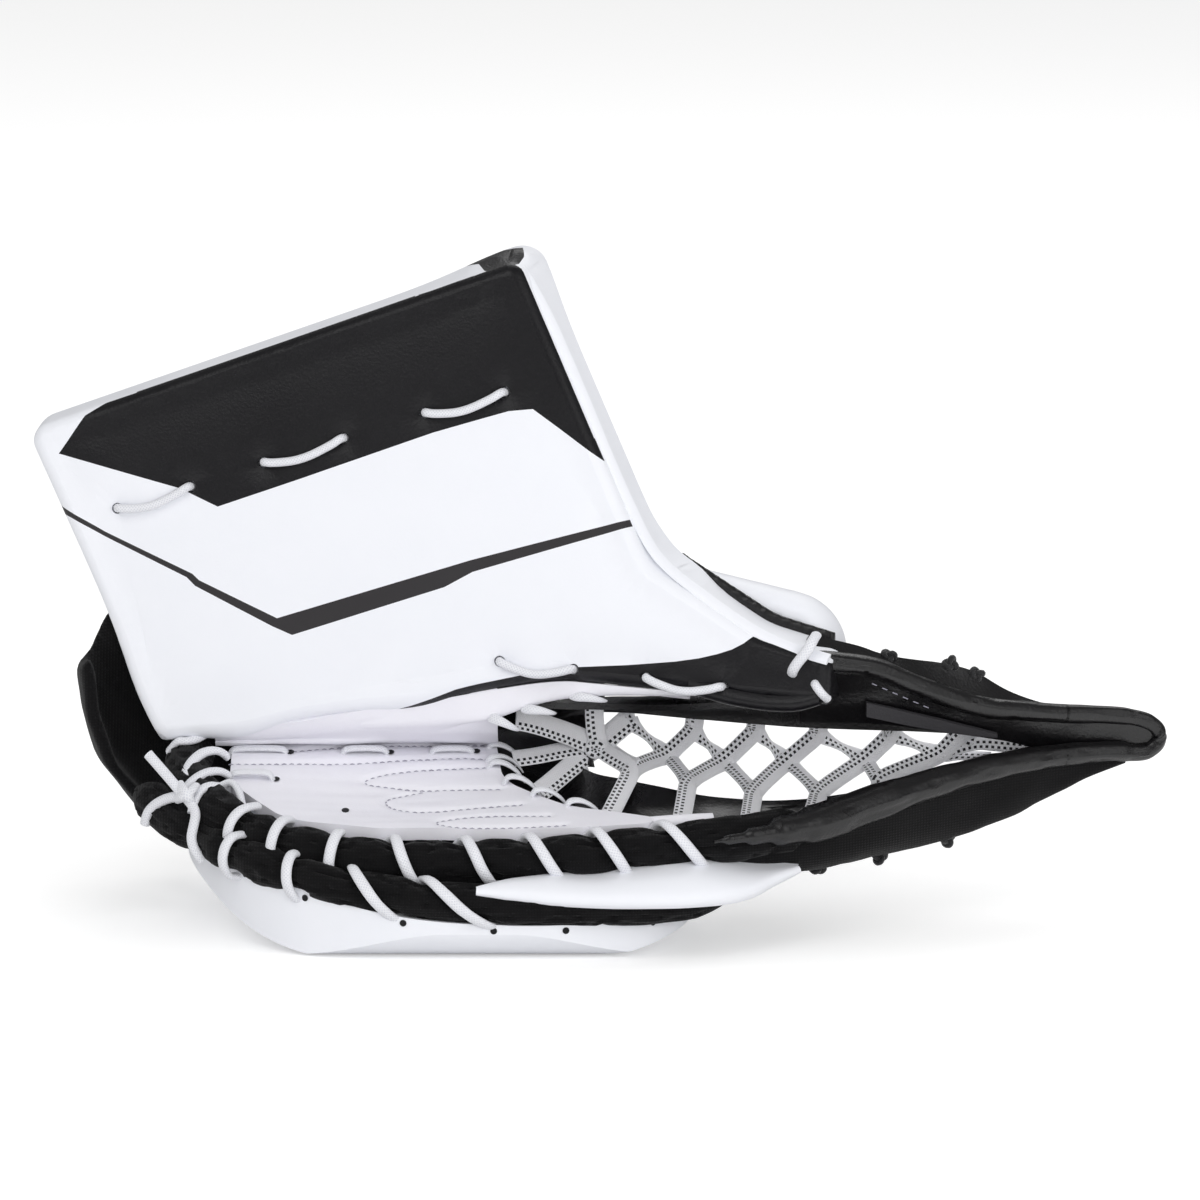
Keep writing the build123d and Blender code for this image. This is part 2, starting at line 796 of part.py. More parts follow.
def make_wrist_strap():
    """Webbing sewn on the outside of the wrap, with a bight round the loop."""
    bar_x = ring_centre_x - ring_half_width
    bar_y = ring_axis_y()
    inner = ring_wire / 2 + clearance
    web = Pos((strap_left + bar_x) / 2, strap_face + strap_thickness / 2, strap_level)
    strap = web * Box(bar_x - strap_left, strap_thickness, strap_width)
    eye = Pos(bar_x, bar_y, strap_level) * Cylinder(inner + strap_thickness, strap_width)
    hole = Pos(bar_x, bar_y, strap_level) * Cylinder(inner, strap_width + 2)
    return strap + eye - hole


def ring_axis_y():
    return strap_face + strap_thickness + ring_wire / 2 + clearance


def make_strap_ring():
    """A rectangular wire loop that joins the strap and its tab."""
    height = strap_width + 2 * ring_wire + 2
    frame = Plane(origin=(ring_centre_x, ring_axis_y(), strap_level), x_dir=(1, 0, 0), z_dir=(0, -1, 0))
    loop = frame * RectangleRounded(2 * ring_half_width, height, 3).wire()
    return sweep(Plane(origin=loop @ 0, z_dir=loop % 0) * Circle(ring_wire / 2), path=loop)


def tab_inner_face():
    """The tab clears the bight of the strap on the other bar of the loop."""
    return ring_axis_y() + ring_wire / 2 + clearance + strap_thickness + clearance


def make_strap_tab():
    """The free end: it goes through the loop and folds back over the strap."""
    bar_x = ring_centre_x + ring_half_width
    root = tab_inner_face() + strap_thickness - ring_axis_y()
    eye = Pos(bar_x, ring_axis_y(), strap_level) * Cylinder(root, strap_width)
    hole = Pos(bar_x, ring_axis_y(), strap_level) * Cylinder(ring_wire / 2 + clearance, strap_width + 2)
    y = tab_inner_face() + strap_thickness / 2
    flap = Pos(bar_x - tab_length / 2, y, strap_level) * Box(tab_length, strap_thickness, strap_width)
    tab = eye + flap - hole
    corners = [e for e in tab.edges().filter_by(Axis.Y) if e.center().X < bar_x - tab_length + 1]
    return fillet(corners, 9)


def patch_place():
    return ring_centre_x + ring_half_width - tab_length + 27


def make_loop_patch():
    """Soft loop patch sewn on the strap."""
    y = strap_face + strap_thickness + patch_thickness / 2
    return Pos(patch_place(), y, strap_level) * Box(46, patch_thickness, strap_width - 6)


def make_hook_patch():
    """Hook patch on a pad under the tab."""
    start = strap_face + strap_thickness + patch_thickness + clearance
    thickness = tab_inner_face() - start
    y = start + thickness / 2
    return Pos(patch_place(), y, strap_level) * Box(44, thickness, strap_width - 6)


def make_hand_strap():
    """A band over the back of the hand, on two feet on the backhand board."""
    floor = backhand_thickness + clearance
    arch = FilletPolyline((-60, floor), (-52, floor + 20), (42, floor + 20), (50, floor), radius=[9, 9])
    band = trace(arch, line_width=strap_thickness)
    strap = extrude(Plane.XZ.offset(-46) * band, amount=-24)
    return strap & hull(floor)


def main():
    save("cuff_thumb_board", make_board())
    save("cuff_insert", make_insert())
    save("cuff_lining", make_lining())
    save("board_binding", make_binding())
    save("thumb_back_pad", make_thumb_back_pad())
    save("thumb_gusset", make_gusset())
    save("thumb_stall", make_thumb_stall())
    save("thumb_stay", make_thumb_stay())
    save("cuff_laces", Compound(children=[stitch(*pair) for pair in cuff_stitches]))
    save("thumb_edge_laces", Compound(children=[stitch(*pair) for pair in thumb_stitches]))
    save("thumb_tip_tie", make_tip_tie())
    save("palm_thumb_panel", make_thumb_panel())
    save("upper_pocket_bar", bar(upper_bar_stations))
    save("upper_rim_strap", make_upper_rim())
    save("upper_pocket_panel", make_upper_panel())
    save("backhand_board", make_backhand_board())
    save("backhand_insert", make_backhand_insert())
    save("finger_roll", inner_roll())
    save("backhand_roll", make_outer_roll())
    save("finger_board", make_finger_board())
    save("palm", make_palm())
    save("palm_pad", make_palm_pad())
    for place, name in enumerate(("little", "ring", "middle", "index")):
        save(f"finger_stall_{name}", make_finger_stall(place))
    save("lower_pocket_bar", make_lower_bar())
    save("lower_rim_strap", make_lower_rim())
    save("pocket_liner", make_pocket_liner())
    save("lower_pocket_panel", make_lower_panel())
    save("tip_cap", make_tip())
    save("perimeter_lace_inner", Compound(children=make_inner_lacing()))
    save("perimeter_lace_outer", Compound(children=make_outer_lacing()))
    save("heel_laces", Compound(children=make_heel_laces()))
    save("palm_laces", Compound(children=make_palm_laces()))
    save("palm_edge_laces", Compound(children=make_palm_edge_laces()))
    save("palm_crease", make_palm_crease())
    save("upper_knots", knots(upper_knot_places))
    save("lower_knots", knots(lower_knot_places))
    save("web_laces", make_web())
    save("wrist_wrap", make_wrist_wrap())
    save("wrist_strap", make_wrist_strap())
    save("strap_ring", make_strap_ring())
    save("strap_tab", make_strap_tab())
    save("strap_loop_patch", make_loop_patch())
    save("strap_hook_patch", make_hook_patch())
    save("hand_strap", make_hand_strap())


main()
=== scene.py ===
from math import cos, exp, pi, radians, sin

import bmesh
import bpy
import numpy as np
from mathutils import Matrix, Vector, noise


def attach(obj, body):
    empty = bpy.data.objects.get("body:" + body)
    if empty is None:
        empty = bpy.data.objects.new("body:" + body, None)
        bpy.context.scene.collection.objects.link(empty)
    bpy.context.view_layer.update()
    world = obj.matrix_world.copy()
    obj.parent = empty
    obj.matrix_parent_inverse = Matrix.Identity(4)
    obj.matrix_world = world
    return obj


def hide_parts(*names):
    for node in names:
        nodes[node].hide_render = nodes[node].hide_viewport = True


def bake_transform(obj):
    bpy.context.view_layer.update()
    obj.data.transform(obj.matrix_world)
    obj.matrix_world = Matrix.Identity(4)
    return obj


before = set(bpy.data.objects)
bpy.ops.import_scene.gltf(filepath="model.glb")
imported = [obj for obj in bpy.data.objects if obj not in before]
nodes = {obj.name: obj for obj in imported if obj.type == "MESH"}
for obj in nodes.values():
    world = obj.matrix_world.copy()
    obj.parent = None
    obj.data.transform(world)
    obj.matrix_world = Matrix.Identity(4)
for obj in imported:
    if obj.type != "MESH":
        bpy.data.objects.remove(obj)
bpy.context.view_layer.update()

# ------------------------------------------------------------ camera and studio
# A goalie's catch glove lies on its back on a pale studio floor. A long lens looks
# at the mouth from ten degrees above the floor, and large soft lamps light it.


def linear(colour):
    """The linear colour of an sRGB hex value."""
    channels = [int(colour[i : i + 2], 16) / 255 for i in (0, 2, 4)]
    return [c / 12.92 if c <= 0.04045 else ((c + 0.055) / 1.055) ** 2.4 for c in channels] + [1]


def add(tree, kind, inputs=None, **settings):
    """Adds a node with its settings, and its values or links."""
    made = tree.nodes.new(kind)
    for name, value in settings.items():
        setattr(made, name, value)
    for name, value in (inputs or {}).items():
        if isinstance(value, bpy.types.NodeSocket):
            tree.links.new(value, made.inputs[name])
        else:
            made.inputs[name].default_value = value
    return made


def new_material(name):
    """A new material, with its node tree and its shader."""
    made = bpy.data.materials.new(name)
    made.use_nodes = True
    return made, made.node_tree, made.node_tree.nodes["Principled BSDF"]


def spread(tree, factor, low, high):
    """A factor spread between two levels."""
    return add(tree, "ShaderNodeMapRange", {"Value": factor, "To Min": low, "To Max": high}).outputs[0]


look_at = Vector((0.0532, 0, 0.1235))
pocket_middle = Vector((0.14, 0.03, 0.06))
camera_distance = 4.0
camera_height = radians(10)
seen_width = 0.456
eye = look_at + camera_distance * Vector((0, -cos(camera_height), sin(camera_height)))
bpy.ops.object.camera_add(location=eye, rotation=(pi / 2 - camera_height, 0, 0))
camera = bpy.context.object
camera.data.lens = camera.data.sensor_width * camera_distance / seen_width
camera.data.clip_end = 60
bpy.context.scene.camera = camera
bpy.context.scene.view_settings.view_transform = "Standard"

# The two low lamps open up the mouth. They leave no highlight on the black leather.
low_lamps = ("pocket_lamp", "mouth_lamp")
for name, place, target, size, power in (
    ("key_lamp", (-0.9, -1.5, 1.9), look_at, 1.6, 10.4),
    ("fill_lamp", (1.5, -1.3, 1.1), look_at, 1.4, 5),
    ("back_lamp", (0.3, 1.6, 1.8), look_at, 1.6, 12),
    ("pocket_lamp", (0.75, -1.5, 0.45), pocket_middle, 0.5, 4.2),
    ("mouth_lamp", (0.0, -2.4, 0.30), look_at, 1.2, 10),
):
    aim = (target - Vector(place)).to_track_quat("-Z", "Y").to_euler()
    bpy.ops.object.light_add(type="AREA", location=place, rotation=aim)
    lamp = bpy.context.object
    lamp.name = name
    lamp.data.size = size
    lamp.data.energy = power
    lamp.visible_glossy = name not in low_lamps

# An even white room, dimmed in reflections so that the black leather stays black.
world = bpy.data.worlds.new("studio")
world.use_nodes = True
tree = world.node_tree
background = tree.nodes["Background"]
background.inputs["Color"].default_value = linear("FFFFFF")
glossy = add(tree, "ShaderNodeLightPath").outputs["Is Glossy Ray"]
tree.links.new(spread(tree, glossy, 0.58, 0.16), background.inputs["Strength"])
bpy.context.scene.world = world

bpy.ops.mesh.primitive_plane_add(size=16, location=(0, 0, -0.0003))
floor = bpy.context.object
floor.name = "floor"

# Matt white backdrop paper, lifted towards white for the camera only.
paper, tree, shader = new_material("matt_white_paper")
shader.inputs["Base Color"].default_value = linear("F6F6F6")
shader.inputs["Roughness"].default_value = 0.95
lift = add(tree, "ShaderNodeEmission", {"Strength": 0.34})
both = add(tree, "ShaderNodeAddShader", {0: shader.outputs[0], 1: lift.outputs[0]})
seen = add(tree, "ShaderNodeLightPath").outputs["Is Camera Ray"]
mixed = add(tree, "ShaderNodeMixShader", {0: seen, 1: shader.outputs[0], 2: both.outputs[0]})
tree.links.new(mixed.outputs[0], tree.nodes["Material Output"].inputs["Surface"])
floor.data.materials.append(paper)

# ------------------------------------------------------------ cuff and thumb board
# The padded one-piece board that stops the puck. Foam and a plastic sheet under
# coated synthetic leather, white with black fields pressed into the same skin.


def only(piece):
    """Selects one object and makes it active."""
    bpy.ops.object.select_all(action="DESELECT")
    piece.select_set(True)
    bpy.context.view_layer.objects.active = piece


def cad_copy(node, name):
    """A loose copy of a CAD node with its doubles merged."""
    piece = bpy.data.objects.new(name, nodes[node].data.copy())
    piece.data.name = name
    piece.data.materials.clear()
    bpy.context.collection.objects.link(piece)
    only(piece)
    bpy.ops.object.mode_set(mode="EDIT")
    bpy.ops.mesh.select_all(action="SELECT")
    bpy.ops.mesh.remove_doubles(threshold=2e-6)
    bpy.ops.object.mode_set(mode="OBJECT")
    if "custom_normal" in piece.data.attributes:
        piece.data.attributes.remove(piece.data.attributes["custom_normal"])
    return piece


def apply_all(piece):
    only(piece)
    for modifier in list(piece.modifiers):
        bpy.ops.object.modifier_apply(modifier=modifier.name)


def smooth_by_angle(piece, degrees):
    only(piece)
    bpy.ops.object.shade_smooth_by_angle(angle=radians(degrees))


def coordinates(piece, kind="co"):
    """The piece's vertices, or their normals, as an array of rows."""
    found = np.empty(len(piece.data.vertices) * 3)
    piece.data.vertices.foreach_get(kind, found)
    return found.reshape(-1, 3)


def put(piece, places):
    piece.data.vertices.foreach_set("co", np.ascontiguousarray(places).ravel())
    piece.data.update()


def bell(values, middle, width):
    """A smooth swell that is 1 at its middle."""
    return np.exp(-(((values - middle) / width) ** 2))


def ripple(places, size, seed, stretch=(1, 1, 1)):
    """Smooth noise from -1 to 1 at each place, with waves of about one size."""
    scale = Vector(stretch) / size
    offset = Vector((seed * 7.1, seed * 3.7, seed * 1.3))
    return np.array([noise.noise(Vector(p) * scale + offset) for p in places])


def cut_grid(piece, pitch):
    """Cuts a piece into squares, so that it can be shaped."""
    mesh = bmesh.new()
    mesh.from_mesh(piece.data)
    for axis in (0, 1):
        low = min(v.co[axis] for v in mesh.verts)
        high = max(v.co[axis] for v in mesh.verts)
        count = int((high - low) / pitch)
        for number in range(1, count + 1):
            spot, way = [0, 0, 0], [0, 0, 0]
            spot[axis], way[axis] = low + number * (high - low) / (count + 1), 1
            every = mesh.verts[:] + mesh.edges[:] + mesh.faces[:]
            bmesh.ops.bisect_plane(mesh, geom=every, plane_co=spot, plane_no=way, dist=1e-6)
    mesh.to_mesh(piece.data)
    mesh.free()


def inside(spot, corners):
    """True where a flat spot lies in a closed outline."""
    found = False
    for number, (x, y) in enumerate(corners):
        last_x, last_y = corners[number - 1]
        if (y > spot[1]) != (last_y > spot[1]) and spot[0] < (last_x - x) * (spot[1] - y) / (last_y - y) + x:
            found = not found
    return found


def tinted(tree, factor, shade, colour):
    """A mix of two sRGB hex colours."""
    mix = {"Factor": factor, 6: linear(shade), 7: linear(colour)}
    return add(tree, "ShaderNodeMix", mix, data_type="RGBA").outputs[2]


def dress(tree, height, strength, distance, tint=None, gloss=None):
    """Feeds the shader its colour and roughness where they are given, and bumps it by a height."""
    shader = tree.nodes["Principled BSDF"]
    for socket, name in ((tint, "Base Color"), (gloss, "Roughness")):
        if socket is not None:
            tree.links.new(socket, shader.inputs[name])
    bump = add(tree, "ShaderNodeBump", {"Height": height, "Strength": strength, "Distance": distance})
    tree.links.new(bump.outputs[0], shader.inputs["Normal"])


def grained_leather(name, colour, shade, grain, depth, roughness, gloss_level=0.5):
    """Leather or coated leather: pebbled grain in millimetres, faint colour drift and uneven gloss."""
    made, tree, shader = new_material(name)
    shader.inputs["IOR"].default_value = 1.5
    shader.inputs["Specular IOR Level"].default_value = gloss_level
    place = add(tree, "ShaderNodeTexCoord").outputs["Object"]
    clouds = {"Vector": place, "Scale": 22, "Detail": 4, "Roughness": 0.6}
    drift = add(tree, "ShaderNodeTexNoise", clouds).outputs["Fac"]
    pebble = add(tree, "ShaderNodeTexVoronoi", {"Vector": place, "Scale": 1000 / grain}, feature="SMOOTH_F1")
    pore = add(tree, "ShaderNodeTexNoise", {"Vector": place, "Scale": 2600 / grain, "Detail": 2})
    grains = {0: pebble.outputs["Distance"], 1: pore.outputs["Fac"]}
    height = add(tree, "ShaderNodeMath", grains, operation="ADD").outputs[0]
    gloss = spread(tree, drift, roughness - 0.07, roughness + 0.09)
    dress(tree, height, depth, 0.0002, tinted(tree, drift, shade, colour), gloss)
    return made


# Coated synthetic leather, calendered: bright and even, with a fine pebble and a soft satin gloss.
white_skin = grained_leather("white_coated_leather", "F4F5FA", "EEF0F6", 0.9, 0.10, 0.44)
# The same skin in black: the light catches its grain along every fold.
black_skin = grained_leather("black_coated_leather", "141317", "0E0D11", 1.0, 0.5, 0.34)
# Printed charcoal line on the white skin.
stripe_skin = grained_leather("charcoal_coated_leather", "3A383A", "323032", 0.9, 0.2, 0.5, 0.3)

yaw, lean = radians(12), radians(10)
board_out = Vector((-sin(yaw) * cos(lean), -cos(yaw) * cos(lean), sin(lean)))
board_right = Vector((cos(yaw), -sin(yaw), 0))
board_up = board_out.cross(board_right)
board_turn = Matrix((board_right, board_up, board_out)).transposed()
board_frame = Matrix.Translation((0, 0, 0.075)) @ board_turn.to_4x4()


def on_board(u, w, out=0.0):
    """A point over the board's front face, from millimetres."""
    return board_frame @ (Vector((u, w, out)) / 1000)


# Outlines of the fields on the board's front face, in its own millimetres.
black_band = [
    (-161.7, 98.2), (-113.5, 86.6), (-97.7, 80.0), (-65.5, 91.8), (-14.6, 111.0), (14.6, 120.2),
    (23.9, 121.3), (52.2, 102.1), (80, 83), (120, 150), (40, 230), (-40, 190), (-151.8, 113.2),
]
stripe = [
    (-163, 79.5), (-153.5, 74.6), (-142.4, 69.0), (-106.8, 54.0), (-104.0, 51.6), (-72.9, 38.2), (2.0, 63.0),
    (63.9, 81.0), (90, 88), (90, 83), (63.9, 78.2), (3.0, 58.6), (-7.8, 52.4), (-66.8, 32.0), (-74.5, 35.0),
    (-105.5, 49.4), (-109.0, 52.6), (-142.4, 67.2), (-155.5, 73.6), (-166, 78),
]
low_band = [
    (-40, 1.0), (-34.0, 4.6), (-15.6, 10.6), (-2.2, 14.6), (12.4, 17.6), (24.7, 20.4), (43.5, 23.8),
    (64.2, 25.4), (82.5, 27.4), (91.7, 29.0), (98.6, 30.8), (104.2, 32.8), (108.8, 35.3), (112, 38.0),
    (131, 31.5), (160, 25), (160, -30), (-20, -30),
]
cuff_stitches = [((-138, 78), (-109, 87.5)), ((-81, 97.5), (-49.5, 108)), ((-18.5, 118.5), (12.5, 127.5))]
thumb_stitches = [((14, 25), (43, 23)), ((71, 21), (101, 18.5))]

board = cad_copy("cuff_thumb_board", "board")
board.data.transform(board_frame.inverted())
cut_grid(board, 0.0045)
mesh = bmesh.new()
mesh.from_mesh(board.data)


def reaches(face, low, high):
    """True where a face reaches into a flat box."""
    for axis in (0, 1):
        extent = [v.co[axis] for v in face.verts]
        if min(extent) >= high[axis] or max(extent) <= low[axis]:
            return False
    return True


def cut_faces(faces, spot, square):
    """Cuts some faces of the board by the plane through a spot."""
    geometry = faces + list({e for f in faces for e in f.edges}) + list({v for f in faces for v in f.verts})
    bmesh.ops.bisect_plane(mesh, geom=geometry, plane_co=spot, plane_no=square, dist=1e-6)


# Each field's edge becomes an edge of the mesh, so that its colour ends in a clean line.
fields = [[(u / 1000, w / 1000) for u, w in field] for field in (black_band, stripe, low_band)]
for field in fields:
    for number, start in enumerate(field):
        end = field[number - 1]
        along = Vector((end[0] - start[0], end[1] - start[1], 0)).normalized()
        low = [min(start[axis], end[axis]) - 0.0008 for axis in (0, 1)]
        high = [max(start[axis], end[axis]) + 0.0008 for axis in (0, 1)]
        near = [f for f in mesh.faces if reaches(f, low, high)]
        cut_faces(near, (*start, 0), Vector((-along.y, along.x, 0)))

# The small black field on the top edge is drawn as the camera sees it, in millimetres across
# and up the view, where every metre of height looks 985 mm high.
corner_outline = [
    (-14, 258.6), (-3, 262.2), (9, 264.2), (23.6, 265.4), (24.2, 262.4), (20.6, 261.4), (12, 258.8),
    (4, 260.0), (-5, 259.6),
]
sight = board_turn.transposed() @ Vector((0, cos(camera_height), -sin(camera_height)))
to_board = board_frame.inverted()
corner_spots = [to_board @ Vector((x / 1000, -0.07, height / 985)) for x, height in corner_outline]
side_sight = Vector((0, 0, 1)).cross(sight)
flat_sight = [sight.cross(side_sight).normalized(), side_sight.normalized()]


def on_sight(spot):
    """Where a place of the board lies across the line of sight."""
    return spot.dot(flat_sight[0]), spot.dot(flat_sight[1])


top_edge = 0.13
corner_field = [on_sight(spot) for spot in corner_spots]
for number, start in enumerate(corner_spots):
    square = (start - corner_spots[number - 1]).cross(sight).normalized()
    high = [f for f in mesh.faces if f.calc_center_median().y > top_edge]
    near = [f for f in high if (f.calc_center_median() - start).cross(sight).length < 0.03]
    cut_faces(near, start, square)

# How far behind the front face each field runs down over the sides, in metres.
for face in mesh.faces:
    spot = face.calc_center_median()
    flat = (spot.x, spot.y)
    in_band, in_stripe, in_low_band = [inside(flat, field) for field in fields]
    deep = 0.0115 if in_low_band and face.normal.y < 0 else 0.0031
    if spot.x > 0.122 and face.normal.x > 0.2:
        deep = 0.040 if spot.y < 0.030 else 0.016
    face.material_index = 0
    if spot.z > -deep and face.normal.z > -0.3:
        face.material_index = 1 if in_band or in_low_band else 2 if in_stripe else 0
    if spot.y > top_edge and face.normal.y > 0.3 and inside(on_sight(spot), corner_field):
        face.material_index = 1
mesh.to_mesh(board.data)
mesh.free()
for skin in (white_skin, black_skin, stripe_skin):
    board.data.materials.append(skin)

# The foam crowns the front face away from its rim, and every lace hole draws it down.
places = coordinates(board)
facing = coordinates(board, "normal")
rim = np.array([p[:2] for p, n in zip(places, facing) if abs(n[2]) < 0.3 and p[2] < -0.006])
front = np.clip((places[:, 2] + 0.0075) / 0.0075, 0, 1) * (facing[:, 2] > -0.1)
gap = np.array([np.sqrt(((rim - p[:2]) ** 2).sum(1).min()) for p in places])
puff = 0.0022 * (1 - np.exp(-gap / 0.014)) - 0.0004
for stitch in cuff_stitches + thumb_stitches:
    for u, w in stitch:
        puff -= 0.0016 * bell(places[:, 0], u / 1000, 0.006) * bell(places[:, 1], w / 1000, 0.006)
puff += 0.00025 * ripple(places, 0.035, 1)
places[:, 2] += puff * front
# The edges swell at the heel, droop in two places over the palm, and fill out at the wrist corner and side.
u, w, out = places.T.copy()
left_edge = np.clip((-0.095 - u) / 0.022, 0, 1) * bell(w, 0.004, 0.024)
under_edge = bell(w, 0.192 * (u + 0.115) - 0.011, 0.008)
drop = 0.0032 * bell(u, -0.088, 0.015) + 0.0026 * bell(u, -0.018, 0.018)
top_corner = bell(u, 0.014, 0.028) * bell(w, 0.174, 0.016)
side_wall = bell(u, 0.082, 0.014) * bell(w, 0.068, 0.013)
deep_part = np.clip((-0.006 - out) / 0.006, 0, 1)
places[:, 0] += -0.0034 * left_edge + 0.0045 * side_wall * deep_part
places[:, 1] += -drop * under_edge + 0.0036 * top_corner * deep_part + 0.0020 * side_wall * deep_part
put(board, places)
board.data.transform(board_frame)
smooth_by_angle(board, 40)
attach(board, "thumb_side")
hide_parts("cuff_thumb_board")

# ------------------------------------------------------------ lining, insert and trim of the board
# The inside of the cuff: a stiff plastic sheet under a padded black mesh lining, a
# welt along the seam, and the black strip that joins the board to the thumb's back.


def woven_fabric(name, colour, shade, thread, depth, roughness, sheen=0.15):
    """Close woven or knitted cloth. Thread is the pitch of its weave in millimetres."""
    made, tree, shader = new_material(name)
    shader.inputs["Sheen Weight"].default_value = sheen
    shader.inputs["Sheen Roughness"].default_value = 0.5
    shader.inputs["Specular IOR Level"].default_value = 0.22
    place = add(tree, "ShaderNodeTexCoord").outputs["Object"]
    weave = {"Vector": place, "Scale": 314 / thread, "Distortion": 0.6}
    warp, weft = [add(tree, "ShaderNodeTexWave", weave, bands_direction=way).outputs["Fac"] for way in "XZ"]
    cross = add(tree, "ShaderNodeMath", {0: warp, 1: weft}, operation="MULTIPLY").outputs[0]
    drift = add(tree, "ShaderNodeTexNoise", {"Vector": place, "Scale": 45, "Detail": 4}).outputs["Fac"]
    # The cloth is darker where the weave is low, between the threads: painted shade, mixed with a random
    # drift of tone.
    blended = add(tree, "ShaderNodeMath", {0: cross, 1: drift}, operation="ADD").outputs[0]
    share = add(tree, "ShaderNodeMath", {0: blended, 1: 0.55}, operation="MULTIPLY").outputs[0]
    gloss = spread(tree, drift, roughness - 0.08, roughness + 0.08)
    dress(tree, cross, depth, 0.0003, tinted(tree, share, shade, colour), gloss)
    return made


def soft_copy(node, name, voxel, rounds):
    """A CAD piece with an even mesh, and its edges rounded as a sewn skin's are."""
    piece = cad_copy(node, name)
    remesh = piece.modifiers.new("skin", "REMESH")
    remesh.mode = "VOXEL"
    remesh.voxel_size = voxel
    smooth = piece.modifiers.new("round", "SMOOTH")
    smooth.iterations = rounds
    apply_all(piece)
    bpy.ops.object.shade_smooth()
    return piece


def inflate(piece, most):
    """Lets padding press the skin out by cloth simulation, no point further than the most."""
    before = coordinates(piece)
    cloth = piece.modifiers.new("padding", "CLOTH")
    cloth.settings.use_pressure = True
    cloth.settings.uniform_pressure_force = 4.0
    cloth.settings.effector_weights.gravity = 0
    cloth.point_cache.frame_end = 20
    for number in range(1, 21):
        bpy.context.scene.frame_set(number)
    only(piece)
    bpy.ops.object.modifier_apply(modifier="padding")
    bpy.context.scene.frame_set(1)
    moved = coordinates(piece) - before
    length = np.maximum(np.linalg.norm(moved, axis=1), 1e-9)
    put(piece, before + moved * (np.minimum(length, most) / length)[:, None])


def finish(piece, body, material, slot, *replaced, fill=None):
    """Gives a piece its material and its place in the frame."""
    piece.data.materials.clear()
    piece.data.materials.append(material)
    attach(piece, body)
    if replaced:
        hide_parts(*replaced)


# Tightly knitted polyester over foam: matt black with a faint rib.
black_knit = woven_fabric("black_knitted_nylon", "121113", "070708", 1.1, 0.5, 0.82, 0.06)
# Open spacer mesh inside the cuff: darker and rougher.
black_spacer = woven_fabric("black_spacer_mesh", "202023", "09090A", 1.8, 0.9, 0.9)
# Drum-dyed cowhide: black, creased, with a waxy gloss on the high places.
black_hide = grained_leather("black_cowhide", "121113", "0A090B", 1.2, 0.5, 0.27, 0.8)
# Full-grain palm leather, white with a lilac cast in the shade.
palm_hide = grained_leather("white_palm_leather", "F7F6FB", "EEEDF5", 1.1, 0.22, 0.52)

lining = soft_copy("cuff_lining", "cuff_lining_padded", 0.0028, 3)
inflate(lining, 0.003)
finish(lining, "thumb_side", black_spacer, "black_mesh", "cuff_lining", fill=0.5)

gusset = soft_copy("thumb_gusset", "thumb_gusset_strip", 0.0012, 3)
finish(gusset, "thumb_side", black_hide, "black_nylon", "thumb_gusset")


def paint(node, material):
    """Gives a CAD piece that is shown as it is its material."""
    nodes[node].data.materials.clear()
    nodes[node].data.materials.append(material)


# Extruded polyethylene: dark grey and half matt, with a slight orange-peel skin.
stiff_sheet, tree, shader = new_material("polyethylene_sheet")
shader.inputs["Roughness"].default_value = 0.38
place = add(tree, "ShaderNodeTexCoord").outputs["Object"]
cloud = add(tree, "ShaderNodeTexNoise", {"Vector": place, "Scale": 60, "Detail": 5}).outputs["Fac"]
dress(tree, cloud, 0.15, 0.0003, tinted(tree, cloud, "26272A", "34363A"))
for node in ("cuff_insert", "thumb_stay", "backhand_insert"):
    paint(node, stiff_sheet)

# ------------------------------------------------------------ laces of the board
# Waxed white skate lace, round and tightly braided. It shows in three long stitches on
# the black field and two on the thumb, and ties the welt down at the thumb tip.


def route(points, steps=10):
    """A smooth line through a lace's own points, in millimetres, as places along its NURBS spline."""
    curve = bpy.data.curves.new("route", "CURVE")
    curve.dimensions = "3D"
    spline = curve.splines.new("NURBS")
    spline.points.add(len(points) - 1)
    for point, place in zip(spline.points, points):
        point.co = (*place, 1)
    spline.order_u = 3
    spline.use_endpoint_u = True
    spline.resolution_u = steps
    holder = bpy.data.objects.new("route", curve)
    mesh = bpy.data.meshes.new_from_object(holder)
    line = [v.co / 1000 for v in mesh.vertices]
    bpy.data.objects.remove(holder)
    bpy.data.curves.remove(curve)
    bpy.data.meshes.remove(mesh)
    return line


def walked_along(line):
    """How far along a line each of its places lies, in millimetres."""
    marks = [0.0]
    for start, end in zip(line, line[1:]):
        marks.append(marks[-1] + (end - start).length * 1000)
    return marks


